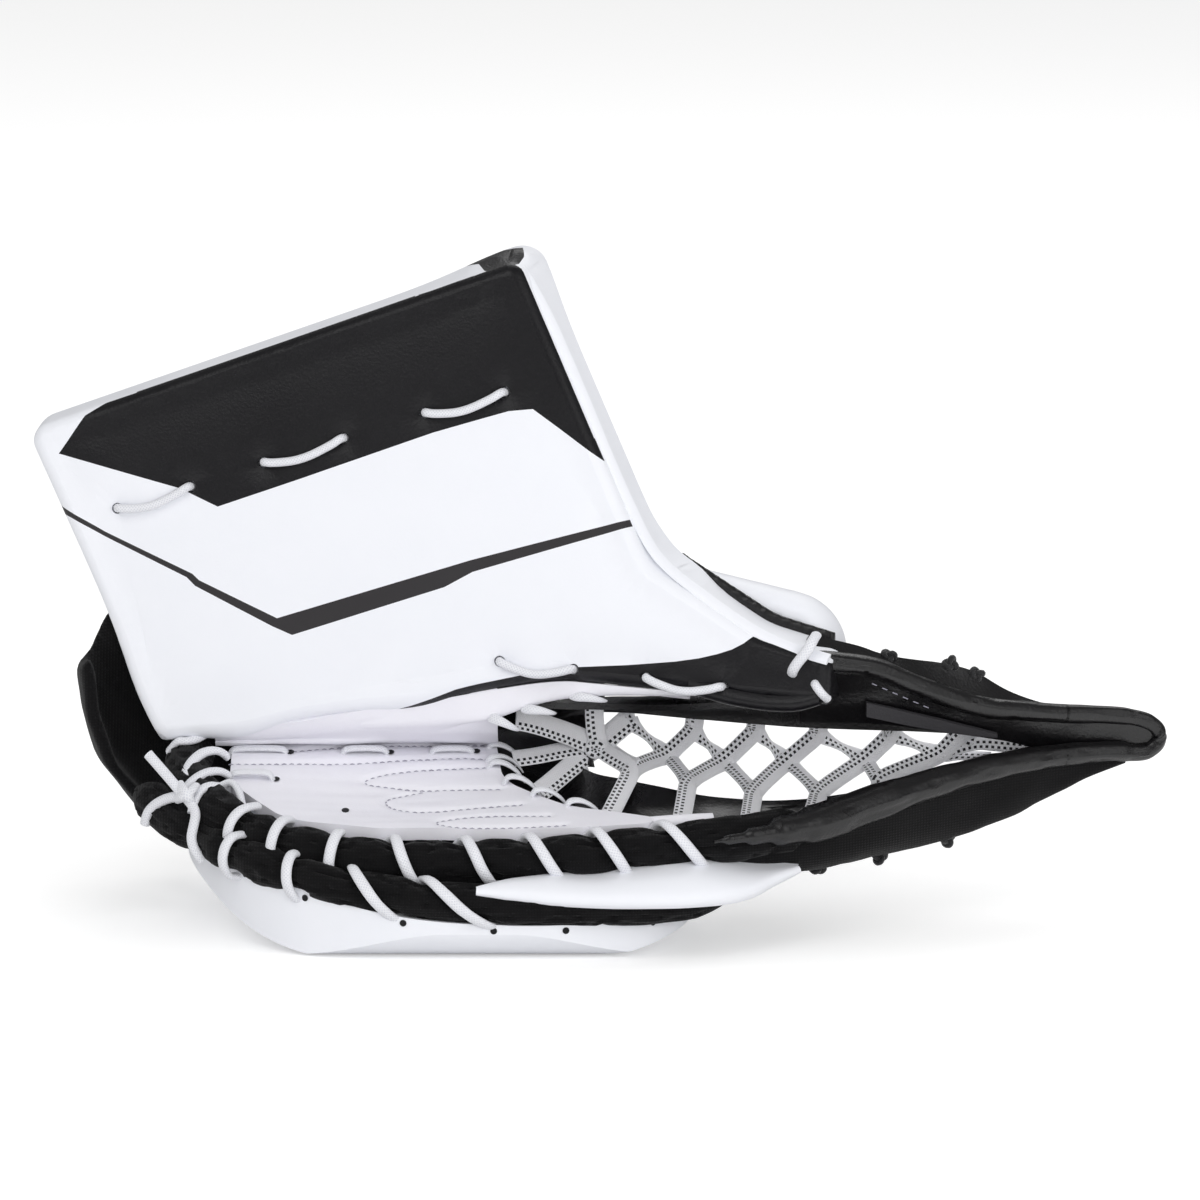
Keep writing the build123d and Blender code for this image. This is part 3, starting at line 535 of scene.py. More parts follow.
def strand(mesh, line, wide, thick, faces, sides=10, shape=None):
    """Adds a closed strand along a line. Faces is the way its flat side looks, or gives it at each place.
    Shape may change the section at each numbered place of the line."""
    layer = mesh.loops.layers.uv.get("along") or mesh.loops.layers.uv.new("along")
    rings, marks = [], walked_along(line)
    for number, spot in enumerate(line):
        ahead = line[min(number + 1, len(line) - 1)] - line[max(number - 1, 0)]
        ahead.normalize()
        flat = Vector(faces(spot) if callable(faces) else faces)
        flat = (flat - ahead * flat.dot(ahead)).normalized()
        side = ahead.cross(flat)
        ring = []
        for step in range(sides):
            turn = 2 * pi * step / sides
            across, rise = wide / 2 * cos(turn), thick / 2 * sin(turn)
            if shape:
                across, rise = shape(number, turn, across, rise)
            ring.append(mesh.verts.new(spot + side * across + flat * rise))
        rings.append(ring)
    girth = 1000 * pi * (wide + thick) / 2
    for number in range(len(rings) - 1):
        for step in range(sides):
            after = (step + 1) % sides
            here, beyond = rings[number], rings[number + 1]
            face = mesh.faces.new((here[step], here[after], beyond[after], beyond[step]))
            values = [(number, step), (number, step + 1), (number + 1, step + 1), (number + 1, step)]
            for loop, (row, column) in zip(face.loops, values):
                loop[layer].uv = (marks[row], girth * column / sides)
    for ring in (rings[0][::-1], rings[-1]):
        mesh.faces.new(ring)


def object_of(mesh, name):
    """Turns a finished bmesh into an object."""
    data = bpy.data.meshes.new(name)
    mesh.to_mesh(data)
    mesh.free()
    piece = bpy.data.objects.new(name, data)
    bpy.context.collection.objects.link(piece)
    return piece


def made_of(mesh, name):
    """An object with outward faces, shaded smooth."""
    bmesh.ops.recalc_face_normals(mesh, faces=mesh.faces)
    piece = object_of(mesh, name)
    smooth_by_angle(piece, 66)
    return piece


def braided_lace(name, colour, shade, pitch, roughness, tracer=False):
    """Braided cord. Its pattern follows the strand, with a map in millimetres along it and round it."""
    made, tree, shader = new_material(name)
    shader.inputs["Sheen Weight"].default_value = 0.25
    shader.inputs["Roughness"].default_value = roughness

    def count(kind, *values):
        return add(tree, "ShaderNodeMath", dict(enumerate(values)), operation=kind).outputs[0]

    map_of = add(tree, "ShaderNodeUVMap", uv_map="along").outputs[0]
    waves = []
    for slant in (42, -42):
        turned = add(tree, "ShaderNodeMapping", {"Vector": map_of, "Rotation": (0, 0, radians(slant))})
        wave = add(tree, "ShaderNodeTexWave", {"Vector": turned.outputs[0], "Scale": 0.314 / pitch})
        waves.append(wave.outputs["Fac"])
    braid = count("MAXIMUM", *waves)
    # The braid's low places take the darker colour: painted shade in its grooves.
    tint = tinted(tree, braid, shade, colour)
    if tracer:
        # Two rows of short black dashes, staggered by half a step, near one edge of each face.
        split = add(tree, "ShaderNodeSeparateXYZ", {"Vector": map_of})
        folded = count("PINGPONG", split.outputs["Y"], 6.8)
        stagger = count("MULTIPLY", count("GREATER_THAN", folded, 2.2), 1.15)
        step = count("FLOORED_MODULO", count("ADD", split.outputs["X"], stagger), 2.3)
        band = count("ADD", count("COMPARE", folded, 1.55, 0.44), count("COMPARE", folded, 2.85, 0.35))
        mark = count("MULTIPLY", band, count("LESS_THAN", step, 1.15))
        inked = {"Factor": mark, 6: tint, 7: linear("17161B")}
        tint = add(tree, "ShaderNodeMix", inked, data_type="RGBA").outputs[2]
    dress(tree, braid, 0.5, 0.0003, tint)
    return made


# Waxed polyester skate lace: clean white with a fine diagonal braid.
white_lace = braided_lace("waxed_white_lace", "EFF0F4", "D4D5DE", 0.9, 0.55)


def board_route(stops):
    """A line over the board, through stops in its own millimetres."""
    return route([on_board(*stop) * 1000 for stop in stops])


def board_stitches(name, stitches, node):
    """Lace stitches over the board, each sagging a little and dipping into its two holes."""
    mesh = bmesh.new()
    for start, end in stitches:
        start, end = Vector(start), Vector(end)
        along, hang = (end - start).normalized() * 2.2, Vector((0, -3.4))
        rise, fall = start + along * 2.2 + hang * 0.5, end - along * 2.2 + hang * 0.5
        stops = [(start, -8), (start, -1.5), (start + along * 0.3, 2.4), (rise, 3.0)]
        stops += [((start + end) / 2 + hang * 1.15, 3.4)]
        stops += [(fall, 3.0), (end - along * 0.3, 2.4), (end, -1.5), (end, -8)]
        line = board_route([(*flat, out) for flat, out in stops])
        strand(mesh, line, 0.0033, 0.0028, board_out + board_up * 0.02)
    finish(made_of(mesh, name), "thumb_side", white_lace, "white_lace", node)


board_stitches("cuff_lace_stitches", cuff_stitches, "cuff_laces")
board_stitches("thumb_lace_stitches", thumb_stitches, "thumb_edge_laces")

# ------------------------------------------------------------ backhand board
# The moulded white board that the glove lies on: foam in coated leather, shaped like a
# shallow boat, with punched holes along its rim where the outer lacing goes through.
paint("backhand_board", white_skin)

# A punched hole drawn as a flat dark disc on the surface: painted shade for the dark inside of the hole,
# faintly speckled.
painted_hole_shade, tree, shader = new_material("punched_hole_painted_shade")
shader.inputs["Roughness"].default_value = 0.8
place = add(tree, "ShaderNodeTexCoord").outputs["Object"]
shade_speckle = add(tree, "ShaderNodeTexNoise", {"Vector": place, "Scale": 900}).outputs["Fac"]
tree.links.new(tinted(tree, shade_speckle, "0B0B0C", "1E1D20"), shader.inputs["Base Color"])

# Each hole on the backhand rim is a flat disc of painted shade, laid just over the surface.
mesh = bmesh.new()
for x, z in ((-80.5, 27.6), (-57.4, 22.0), (-20.5, 14.6), (13.4, 11.8), (40.4, 11.6), (73.0, 12.6)):
    start = Vector((x / 1000, -0.3, z / 1000))
    hit, spot, facing, _ = nodes["backhand_board"].ray_cast(start, Vector((0, 1, 0)))
    if not hit:
        continue
    flat, centre = facing.to_track_quat("Z", "Y").to_matrix(), spot + facing * 0.0003
    ring = []
    for step in range(12):
        angle = 2 * pi * step / 12
        ring.append(mesh.verts.new(centre + flat @ Vector((cos(angle), sin(angle), 0)) * 0.0013))
    mesh.faces.new(ring)
finish(made_of(mesh, "rim_hole_painted_shade"), "finger_side", painted_hole_shade, "white_leather")

# ------------------------------------------------------------ perimeter rolls
# Two tubes of foam cord in black knitted nylon run round the heel and the fingers. The
# lace bites into them at every turn, and the cloth folds along them between the turns.
inner_stops = [
    (-103, 40, 60), (-106, 22, 55), (-101, -6, 49.5), (-84, -36, 42.6), (-52, -56, 35.4), (-14, -61, 33.0),
    (34, -61, 35), (84, -54, 39), (112, -46, 41.4), (131, -36, 43.4),
]
outer_stops = [
    (-123, 14, 47), (-116, -1, 44.6), (-105, -18, 39.5), (-84, -46, 34), (-54, -66, 27.5), (-18, -74, 22.4),
    (20, -76, 20.6), (64, -74, 20.4), (90, -67, 21.4), (105, -59, 24.6),
]
inner_line, outer_line = route(inner_stops, steps=60), route(outer_stops, steps=60)
inner_radius, outer_radius = 8.5, 7.5
# Where each turn of lace lies over a roll: x at its top and at its bottom, in millimetres. The
# first one of the outer roll is the heel tie's.
inner_turns = [
    (-80.2, -80.6), (-66.6, -65.2), (-46, -45.6), (-24.3, -14.0), (2.7, 13.7), (26.6, 39.9), (52, 63.8),
    (77, 92),
]
outer_turns = [(-95.0, -97.0), (-83.6, -82.0), (-63.5, -57.4), (-41.8, -20.9), (-14.0, 13.3)]


def on_roll(line, x, angle, radius):
    """A place on a roll, in metres: x along it, the angle round it from the top towards the catcher."""
    number = min(range(1, len(line) - 1), key=lambda k: abs(line[k].x * 1000 - x))
    ahead = (line[number + 1] - line[number - 1]).normalized()
    out = ahead.cross(Vector((0, 0, 1))).normalized()
    rise = out.cross(ahead)
    turn = radians(angle)
    return line[number] + (rise * cos(turn) + out * sin(turn)) * radius / 1000


def nearest(line, spot):
    return min(line, key=lambda place: (place - spot).length_squared)


def perimeter_roll(name, line, radius, turns, seed, taper, node):
    """A roll of knitted nylon, pinched by its lace, wrinkled along its length and drawn in at both ends."""
    marks = walked_along(line)

    def pinched(number, turn, across, rise):
        walked = marks[number]
        x, down = line[number].x * 1000, (1 - sin(turn)) / 2
        bite = max(exp(-(((x - top - (low - top) * down) / 4.8) ** 2)) for top, low in turns)
        fold = noise.noise(Vector((walked / 24, cos(turn) * 2.6 + seed, sin(turn) * 2.6)))
        crease = abs(noise.noise(Vector((walked / 21, cos(turn) * 4.6, sin(turn) * 4.6 + seed))))
        fine = noise.noise(Vector((walked / 7, cos(turn) * 7.1, sin(turn) * 7.1 + seed)))
        grow = 1.045 + 0.09 * fold + 0.025 * fine - 0.17 * max(0, 0.17 - crease) / 0.17 - 0.28 * bite
        ends = (min(walked, marks[-1] - walked) + 0.4) / taper[walked > marks[-1] / 2]
        grow *= min(1, ends) ** 0.5
        return across * grow, rise * grow

    mesh = bmesh.new()
    strand(mesh, line, radius * 0.002, radius * 0.002, (0, 0, 1), 40, pinched)
    finish(made_of(mesh, name), "finger_side", black_knit, "black_nylon", node, fill=0.8)


perimeter_roll("finger_roll_sleeve", inner_line, inner_radius, inner_turns, 3.0, (4, 9), "finger_roll")
perimeter_roll("backhand_roll_sleeve", outer_line, outer_radius, outer_turns, 8.0, (14, 19), "backhand_roll")

# ------------------------------------------------------------ perimeter lacing
# One long lace winds round the inner roll through the edge of the palm; a second takes
# the outer roll to the punched rim of the backhand board.


def winding(name, line, radius, turns, node, first=-24, last=170):
    """A lace wound round a roll: over it in front from each top to each bottom, and back behind it."""
    reach = radius + 1.2
    # Each turn as its angle round the roll, its share of the way down, and its lift off the cloth.
    over = [(first, 0.0, 0.0), (18, 0.1, 0.6), (60, 0.34, 0.9), (100, 0.62, 0.9), (140, 0.9, 0.5)]
    over.append((last, 1.0, -0.2))
    behind = ((215, 0.25), (270, 0.55), (315, 0.85))
    stops = []
    for number, (top, low) in enumerate(turns):
        for angle, share, lift in over:
            stops.append(on_roll(line, top + (low - top) * share, angle, reach + lift))
        if number + 1 < len(turns):
            following = turns[number + 1][0]
            for angle, share in behind:
                stops.append(on_roll(line, low + (following - low) * share, angle, reach - 0.4))
    mesh = bmesh.new()
    smooth = route([stop * 1000 for stop in stops], steps=7)
    strand(mesh, smooth, 0.0044, 0.0029, lambda spot: spot - nearest(line, spot))
    finish(made_of(mesh, name), "finger_side", white_lace, "white_lace", node)


winding("inner_roll_lace", inner_line, inner_radius, inner_turns, "perimeter_lace_inner")
winding("outer_roll_lace", outer_line, outer_radius, outer_turns[1:], "perimeter_lace_outer", -40, 158)

# ------------------------------------------------------------ finger board
# The white padded wedge between the two rolls, in the same coated leather as the cuff.
# It is sewn under the inner roll, swells out over the outer one, and runs to a point.


def stations(*rows):
    """Rows of points from stations: an x, and then the y and z of each point there."""
    return [[(x, *spot) for spot in spots] for x, *spots in rows]


def sheet_of(name, rows, thickness, wrinkle, seed, cells=5):
    """A soft sheet through rows of points in millimetres, wrinkled across its surface."""
    mesh = bmesh.new()
    lines = [route(row, steps=cells) for row in rows]
    across = []
    for column in range(len(lines[0])):
        across.append(route([line[column] * 1000 for line in lines], steps=cells))
    grid = [[mesh.verts.new(spot) for spot in row] for row in zip(*across)]
    for one, two in zip(grid, grid[1:]):
        for column in range(len(one) - 1):
            mesh.faces.new((one[column], one[column + 1], two[column + 1], two[column]))
    mesh.normal_update()
    for vertex in mesh.verts:
        spot = vertex.co
        fold = noise.noise(Vector((spot.x * 26, spot.y * 60, spot.z * 70 + seed)))
        fine = noise.noise(Vector((spot.x * 70, spot.y * 130 + seed, spot.z * 150)))
        vertex.co = spot + vertex.normal * (fold + 0.4 * fine) * wrinkle / 1000
    piece = object_of(mesh, name)
    solid = piece.modifiers.new("thickness", "SOLIDIFY")
    solid.thickness = thickness / 1000
    solid.offset = 0
    apply_all(piece)
    bpy.ops.object.mode_set(mode="EDIT")
    bpy.ops.mesh.select_all(action="SELECT")
    bpy.ops.mesh.normals_make_consistent(inside=False)
    bpy.ops.object.mode_set(mode="OBJECT")
    smooth_by_angle(piece, 60)
    return piece


wedge_rows = stations(
    (7, (-80.2, 27.4), (-80.6, 27.3), (-81, 27.2), (-81.4, 27.0), (-81, 26.8)),
    (16, (-76, 29.0), (-78, 28.9), (-80.4, 28.4), (-83.2, 26.6), (-82, 25.4)),
    (25, (-69, 28.6), (-73, 29.4), (-78.4, 28.8), (-84, 25.8), (-81.5, 24.2)),
    (36, (-64, 29.4), (-69, 29.8), (-77.6, 28.8), (-84.8, 24.8), (-82, 22.8)),
    (48, (-58, 30.4), (-63, 28.9), (-75.9, 27.9), (-84.5, 24.1), (-81.5, 22.1)),
    (66, (-55, 33.0), (-60, 31.5), (-74.4, 29.0), (-84, 23.7), (-81, 21.7)),
    (84, (-53, 34.3), (-58, 32.8), (-72.4, 29.6), (-82, 23.4), (-79, 21.4)),
    (98, (-49, 33.0), (-54, 31.5), (-67.8, 28.9), (-77, 23.3), (-74, 21.3)),
    (110, (-45, 30.4), (-50, 28.9), (-61.0, 27.4), (-68, 24.1), (-65, 22.1)),
    (119, (-42, 29.2), (-46, 28.4), (-52.4, 27.8), (-56, 26.8), (-54, 25.4)),
    (128, (-43.0, 28.6), (-44, 28.5), (-45, 28.4), (-46, 28.3), (-45, 28.0)),
)
finger_wedge = sheet_of("finger_board_wedge", wedge_rows, 3.0, 0.35, 11.0)
finish(finger_wedge, "finger_side", white_skin, "white_leather", "finger_board", fill=0.85)

# ------------------------------------------------------------ palm
# One hide of soft white leather, dished by the hand, quilted in pointed channels that
# run out to the pocket and sewn through a foam pad.
slope = radians(10)
palm_back = Vector((0, cos(slope), sin(slope)))
palm_up = Vector((0, -sin(slope), cos(slope)))
palm_turn = Matrix((Vector((1, 0, 0)), palm_back, palm_up)).transposed()
palm_frame = Matrix.Translation((0, -0.058, 0.045)) @ palm_turn.to_4x4()

# Rows of stitching as lines of palm coordinates in millimetres: x, and v back from the roll.
quilt_rows = [
    [(-64, 88.5), (-50, 92), (-36, 93.5), (-20, 94.5), (10, 94)],
    [(-88, 75.5), (-59, 76.5), (-40, 78.6), (-21, 81), (6.5, 82), (11, 79)],
    [(9, 72), (-10, 72.5), (-26, 71), (-41, 62.5), (-18, 54.5), (0, 53.4), (15, 52)],
    [(-15, 53), (-31, 47), (-24, 31), (-2, 31), (24, 34)],
    [(34, 20), (14, 21.5), (-2, 20.5), (-11, 14.5), (0, 7.5), (20, 7), (41, 10)],
]


def along_rows(rows, pitch):
    """Places every so many millimetres along each row, with the way the row runs."""
    for row in rows:
        line = [Vector((x, v, 0)) for x, v in row]
        smooth = [p * 1000 for p in route(line, steps=24)]
        left = 0.0
        for start, end in zip(smooth, smooth[1:]):
            length = (end - start).length
            while left < length:
                yield start.lerp(end, left / length), (end - start).normalized()
                left += pitch
            left -= length


palm = cad_copy("palm", "palm_leather")
palm.data.transform(palm_frame.inverted())
cut_grid(palm, 0.0013)
places = coordinates(palm)
seams = np.array([spot[:2] for spot, way in along_rows(quilt_rows, 1.5)]) / 1000


def palm_height(flat):
    """How far the palm's surface lies above its plane, in metres, at rows of x and v."""
    near = np.array([np.sqrt(((seams - p) ** 2).sum(1).min()) for p in flat])
    dish = bell(flat[:, 0], -0.030, 0.055) * bell(flat[:, 1], 0.045, 0.034)
    quilt = 0.0009 * bell(near, 0, 0.0017) * (near < 0.01)
    soft = np.array([[x, v, 0] for x, v in flat])
    folds = 0.0008 * ripple(soft, 0.030, 4, (0.6, 1.6, 1)) + 0.0004 * ripple(soft, 0.012, 5, (0.5, 1.8, 1))
    return -0.0042 * dish - quilt + folds * (0.3 + dish)


places[:, 2] += palm_height(places[:, :2])
put(palm, places)
palm.data.transform(palm_frame)
smooth_by_angle(palm, 50)
finish(palm, "finger_side", palm_hide, "palm_leather", "palm", fill=0.35)

# The pad under the hide: moulded closed-cell foam, grey, with its cells just showing.
pad = soft_copy("palm_pad", "palm_foam_pad", 0.0016, 2)
grey_foam = woven_fabric("grey_eva_foam", "5A5B60", "4A4B50", 1.3, 0.2, 0.85, 0.0)
finish(pad, "finger_side", grey_foam, "foam", "palm_pad", fill=0.5)

# Stitches of the quilting: grey waxed thread in short lengths, each pulled into the hide.
waxed_thread = braided_lace("grey_waxed_thread", "A9A7B6", "8E8C9C", 0.5, 0.6)
spots, ways = zip(*along_rows(quilt_rows, 2.9))
levels = palm_height(np.array([spot[:2] for spot in spots]) / 1000)
mesh = bmesh.new()
for spot, way, level in zip(spots, ways, levels):
    middle = palm_frame @ Vector((spot.x / 1000, spot.y / 1000, level + 0.00025))
    way = palm_turn @ way
    line = [middle - way * 0.0009 - palm_up * 0.0003, middle, middle + way * 0.0009 - palm_up * 0.0003]
    strand(mesh, line, 0.0006, 0.0005, palm_up, 6)
finish(made_of(mesh, "palm_stitching"), "finger_side", waxed_thread, "white_lace")

# ------------------------------------------------------------ back of the thumb
# A black knitted stall holds the thumb, a stay guards it, and a white padded bulge
# covers it behind the board.
stall = soft_copy("thumb_stall", "thumb_stall_sleeve", 0.0016, 3)
finish(stall, "thumb_side", black_knit, "black_mesh", "thumb_stall", fill=0.3)

back_pad = soft_copy("thumb_back_pad", "thumb_back_padding", 0.0024, 5)
inflate(back_pad, 0.0022)
smoother = back_pad.modifiers.new("fine", "SUBSURF")
smoother.levels = smoother.render_levels = 1
apply_all(back_pad)
finish(back_pad, "thumb_side", white_skin, "white_leather", "thumb_back_pad", fill=0.7)

# ------------------------------------------------------------ welt along the seam
# A flat strip of the white skin sewn into the right-hand seam of the board. It runs from
# the wrist corner to the thumb tip, where its end is cut square and tied down by a lace.
welt_stops = [
    (15.6, 175.0, -6), (23.5, 165, -6.4), (42.6, 126, -6.4), (53.6, 102, -6.2), (64.4, 80.8, -6),
    (71, 69.4, -5.6), (79, 61.6, -5), (90, 54, -4.4), (112.5, 39.4, -3.4), (131, 32.6, -2.2),
    (141.5, 30.4, -0.8),
]
mesh = bmesh.new()
welt_faces = board_out * 0.75 + board_right * 0.55 + board_up * 0.35
strand(mesh, board_route(welt_stops), 0.0052, 0.0019, welt_faces, 12)
finish(made_of(mesh, "seam_welt"), "thumb_side", white_skin, "white_leather", "board_binding")

tie_stops = [
    (127.6, 24.4, -1), (128.0, 25.4, 1.8), (130.4, 29.0, 3.0), (134.2, 33.6, 3.4), (135.6, 37.6, 1.6),
    (135.8, 39.4, -4),
]
tail_stops = [
    (135.6, 22.0, -3), (136.6, 21.2, 0.8), (138.2, 19.2, 1.6), (140.2, 16.6, 0.6), (141.2, 15.4, -3),
]
mesh = bmesh.new()
strand(mesh, board_route(tie_stops), 0.0042, 0.0032, board_out)
strand(mesh, board_route(tail_stops), 0.0034, 0.0028, board_out)
finish(made_of(mesh, "thumb_tip_lace"), "thumb_side", white_lace, "white_lace", "thumb_tip_tie")

# ------------------------------------------------------------ leather between palm and board
# The palm hide turns up behind the fold and is sewn under the board: a soft crease, and a
# lip that edges the pocket.


def lower_edge(u):
    """Height of the board's lower edge at u, in millimetres."""
    if u < 36:
        return -11 + 29 * (u + 115) / 151
    return 18 - 6 * (u - 36) / 106


def fold_rows(u, out=0.0):
    """The fold's own line under the board at u, from the board's edge down and back to the palm."""
    front = on_board(u, lower_edge(u) + 1.2, -4) * 1000
    x, drop = front.x, front.z - 62
    stops = [(front.y, front.z), (front.y + 2.2, front.z - 0.42 * drop), (front.y + 13, 62 + 0.24 * drop)]
    stops += [(27, 62.8 + 0.05 * drop), (35, 62.4), (39.5, 61.2)]
    return [(x, y - out, z - 0.4 * out) for y, z in stops]


crease_rows = [fold_rows(u) for u in (-97, -90, -80, -62, -42, -22, -8, 3, 13)]
crease = sheet_of("palm_fold", crease_rows, 1.8, 1.2, 2.0)
crease.data.materials.append(palm_hide)
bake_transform(crease)
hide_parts("palm_crease")

# The lip carries the fold's line on over the pocket, and hangs less and less below the board.
rows = []
for u, out in ((-40, -0.6), (-30, 0.2), (-18, 0.7), (-4, 0.9)):
    top, middle, low = [Vector(stop) for stop in fold_rows(u, out)[:3]]
    rows.append([top, top.lerp(middle, 0.6), middle, middle.lerp(low, 0.3), middle.lerp(low, 0.6)])
for u, drop in (
    (7, 10.5), (12, 10.6), (18, 9.4), (29, 7.0), (40, 5.4), (48, 3.8), (58, 2.4), (68, 1.6), (78, 0.9),
    (86, 0.2),
):
    low = lower_edge(u)
    stops = [(low + 0.8, -4.4), (low - drop * 0.5, -4.8), (low - drop, -6.2)]
    stops += [(low - drop * 0.85, -9), (low - 1.2, -14)]
    rows.append([on_board(u, w, out) * 1000 for w, out in stops])
lip = sheet_of("thumb_palm_lip", rows, 1.6, 0.5, 6.0)
finish(lip, "thumb_side", palm_hide, "palm_leather", "palm_thumb_panel")

# At the thumb tip the black skin of the board hangs below its edge in a soft fold.
rows = []
for u, low in (
    (88, 16), (93, 14.6), (101.8, 12.3), (110.8, 10.9), (119.6, 10.1), (128.5, 10.3), (133.9, 11.6),
    (138.5, 13.4),
):
    stops = [(low + 5.5, -1.2), (low + 3.2, 0.5), (low + 0.9, -0.2)]
    stops += [(low, -2.6), (low + 0.8, -6.5), (low + 2.5, -12)]
    rows.append([on_board(u, w, out) * 1000 for w, out in stops])
thumb_fold = sheet_of("thumb_tip_skin_fold", rows, 1.2, 0.35, 23.0)
finish(thumb_fold, "thumb_side", black_skin, "black_leather")

# ------------------------------------------------------------ bars of the pocket
# Two long bars of black cowhide, rolled round a core and sewn along one edge. They start
# at the thumb tip and at the finger board, and meet in the folded end of the T.

# The hide is rolled over a core: it runs down the upper bar, turns round the tip and comes
# back as the lower bar. Each stop is a place and the roll's radius there.
bead_stops = [
    (130, -17, 103.6, 3.4), (141.7, -14, 102, 4.0), (157.7, -8, 99, 4.0), (171.8, -2, 91.8, 3.9),
    (189, 6, 83.8, 3.9), (203, 12, 79.1, 3.9), (213.6, 17, 77.8, 3.8), (229, 25, 74.8, 3.6),
    (250, 34.5, 72.8, 3.3), (262, 38.5, 70.4, 3.0), (267.4, 40, 67.0, 2.8), (269.0, 40, 63, 2.8),
    (267.2, 40, 59.2, 3.0), (262, 39, 56.6, 3.2), (250, 35, 58.4, 3.8), (229, 26, 58.5, 4.2),
    (215.3, 17, 58.2, 4.8), (198, 5, 56.6, 5.4), (178.6, -8, 53.8, 5.9), (154.3, -25, 49.1, 6.8),
    (136.8, -37.5, 44.6, 7.2), (124, -47, 43.8, 5.8), (113, -54.8, 43.4, 3.5), (104, -58.6, 42.8, 2.0),
    (96, -61.4, 42.0, 0.6),
]
bead_line = route([stop[:3] for stop in bead_stops], steps=16)


def rolled(name, line, tucked=0):
    """A roll of hide along a line of the bead, with folds that run along it and creases across it."""
    seed = 3.0

    def folded(number, turn, across, rise):
        spot = line[number] * 1000
        near = [(Vector(stop[:3]) - spot).length_squared ** 2 + 0.01 for stop in bead_stops]
        girth = sum(stop[3] / gap for stop, gap in zip(bead_stops, near)) / sum(1 / gap for gap in near)
        along = Vector((spot.x / 50, cos(turn) * 1.5 + seed, sin(turn) * 1.5 + spot.z / 80))
        crease = abs(noise.noise(Vector((spot.x / 34, cos(turn) * 2.6, sin(turn) * 2.6 + seed))))
        fine = noise.noise(Vector((spot.x / 12, cos(turn) * 3.1, sin(turn) * 3.1 + seed)))
        tuck = 0.93 if number < tucked or number >= len(line) - tucked else 1.0
        # The hide lies smooth where the bar starts and is worked more and more beyond it.
        worked = min(1, max(0.1, (spot.x - 104) / 28))
        folds = 0.15 * noise.noise(along) - 0.12 * max(0, 0.14 - crease) / 0.14 + 0.012 * fine
        grow = girth * tuck * (1 + worked * folds)
        return across * grow, rise * grow

    mesh = bmesh.new()
    strand(mesh, line, 0.002, 0.002, (0, -0.3, 1), 26, folded)
    return made_of(mesh, name)


# The bar is split into an upper roll, a lower roll and a tip that bends between them.
halves = [number for number, spot in enumerate(bead_line) if spot.x < 0.232]
turn_back = next(number for number in halves if bead_line[number].z < 0.0625)
turn_out = max(number for number in halves if number < turn_back)
upper_roll = rolled("upper_bar_roll", bead_line[: turn_out + 1])
finish(upper_roll, "thumb_side", black_hide, "black_leather", "upper_pocket_bar", fill=0.6)
lower_roll = rolled("lower_bar_roll", bead_line[turn_back:])
finish(lower_roll, "finger_side", black_hide, "black_leather", "lower_pocket_bar", fill=0.6)
tip = rolled("folded_tip_leather", bead_line[turn_out - 7 : turn_back + 8], 6)
tip.data.materials.append(black_hide)
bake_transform(tip)
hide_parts("tip_cap")

skirt_rows = stations(
    (129, (-14, 101), (-6, 88), (1, 77)), (142, (-12, 100), (-5, 88), (2, 77)),
    (157, (-7, 96), (-1, 86), (6, 75.5)), (172, (-1, 90), (4, 81.5), (9, 73.4)),
    (189, (7, 82), (11, 76), (15, 69.8)), (203, (13, 77.5), (17, 72), (20, 66.6)),
    (213.6, (18, 76), (22, 71), (26, 63.6)), (222, (22, 75), (26, 69), (30, 60.5)),
    (232, (27, 73.5), (31, 67.5), (33.5, 58.6)), (246, (33.5, 71.5), (37, 66.5), (38, 58.4)),
    (259, (38, 69.5), (40, 65), (40.5, 57.6)), (269, (40.2, 66), (41, 63), (41, 59.8)),
)
skirt = sheet_of("upper_bar_skirt", skirt_rows, 2.6, 0.9, 14.0, 8)
skirt.data.materials.append(black_hide)
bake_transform(skirt)

flap_rows = stations(
    (132, (-15, 102), (-9, 107), (-6, 110.2)), (148, (-10, 100), (-4, 103.5), (-1, 106.4)),
    (160, (-6, 96.5), (0, 98.5), (4, 100.3)), (172, (-1, 91), (5, 95), (8, 98.3)),
    (183, (4, 86), (9, 92), (12, 96.8)), (196, (10, 81), (14, 87), (17, 92.7)),
    (206, (14, 78.5), (18, 81.5), (21, 84.7)), (214, (18, 77.5), (22, 79), (24, 80.8)),
    (223, (22, 75.2), (24, 76.8), (25.4, 78.2)),
)
flap = sheet_of("upper_bar_flap", flap_rows, 2.8, 0.8, 17.0, 8)
finish(flap, "thumb_side", black_hide, "black_leather")

# The end of the strap under the bar is left as a flat grey flap of split leather.
grey_split = grained_leather("grey_split_leather", "3E3D40", "333235", 1.0, 0.4, 0.55, 0.3)
ends = stations(
    (154.5, (-4, 84.8), (-2.6, 79)), (172, (1.2, 79.7), (3.6, 74.2)), (190, (8.4, 74.0), (10.6, 69.8)),
    (205, (15.4, 69.0), (16.2, 67.6)),
)
strap_rows = [[top, Vector(top).lerp(Vector(low), 0.5), low] for top, low in ends]
grey_flap = sheet_of("rim_strap_end", strap_rows, 1.6, 0.3, 19.0, 6)
finish(grey_flap, "thumb_side", grey_split, "black_leather")

# Grey thread shows in a short row of stitches under the upper roll.
mesh = bmesh.new()
for number in range(6):
    start = Vector((157.4 + 4.0 * number, -60, 101.6 - 1.75 * number)) / 1000
    found, surface, facing, _ = skirt.ray_cast(start, Vector((0, cos(camera_height), -sin(camera_height))))
    if found:
        way = Vector((3.1, 0.9, -1.38)).normalized() * 0.0011
        raised = surface + facing * 0.0002
        strand(mesh, [raised - way, raised, raised + way], 0.0005, 0.0004, facing, 6)
finish(made_of(mesh, "upper_bar_stitching"), "thumb_side", waxed_thread, "white_lace")

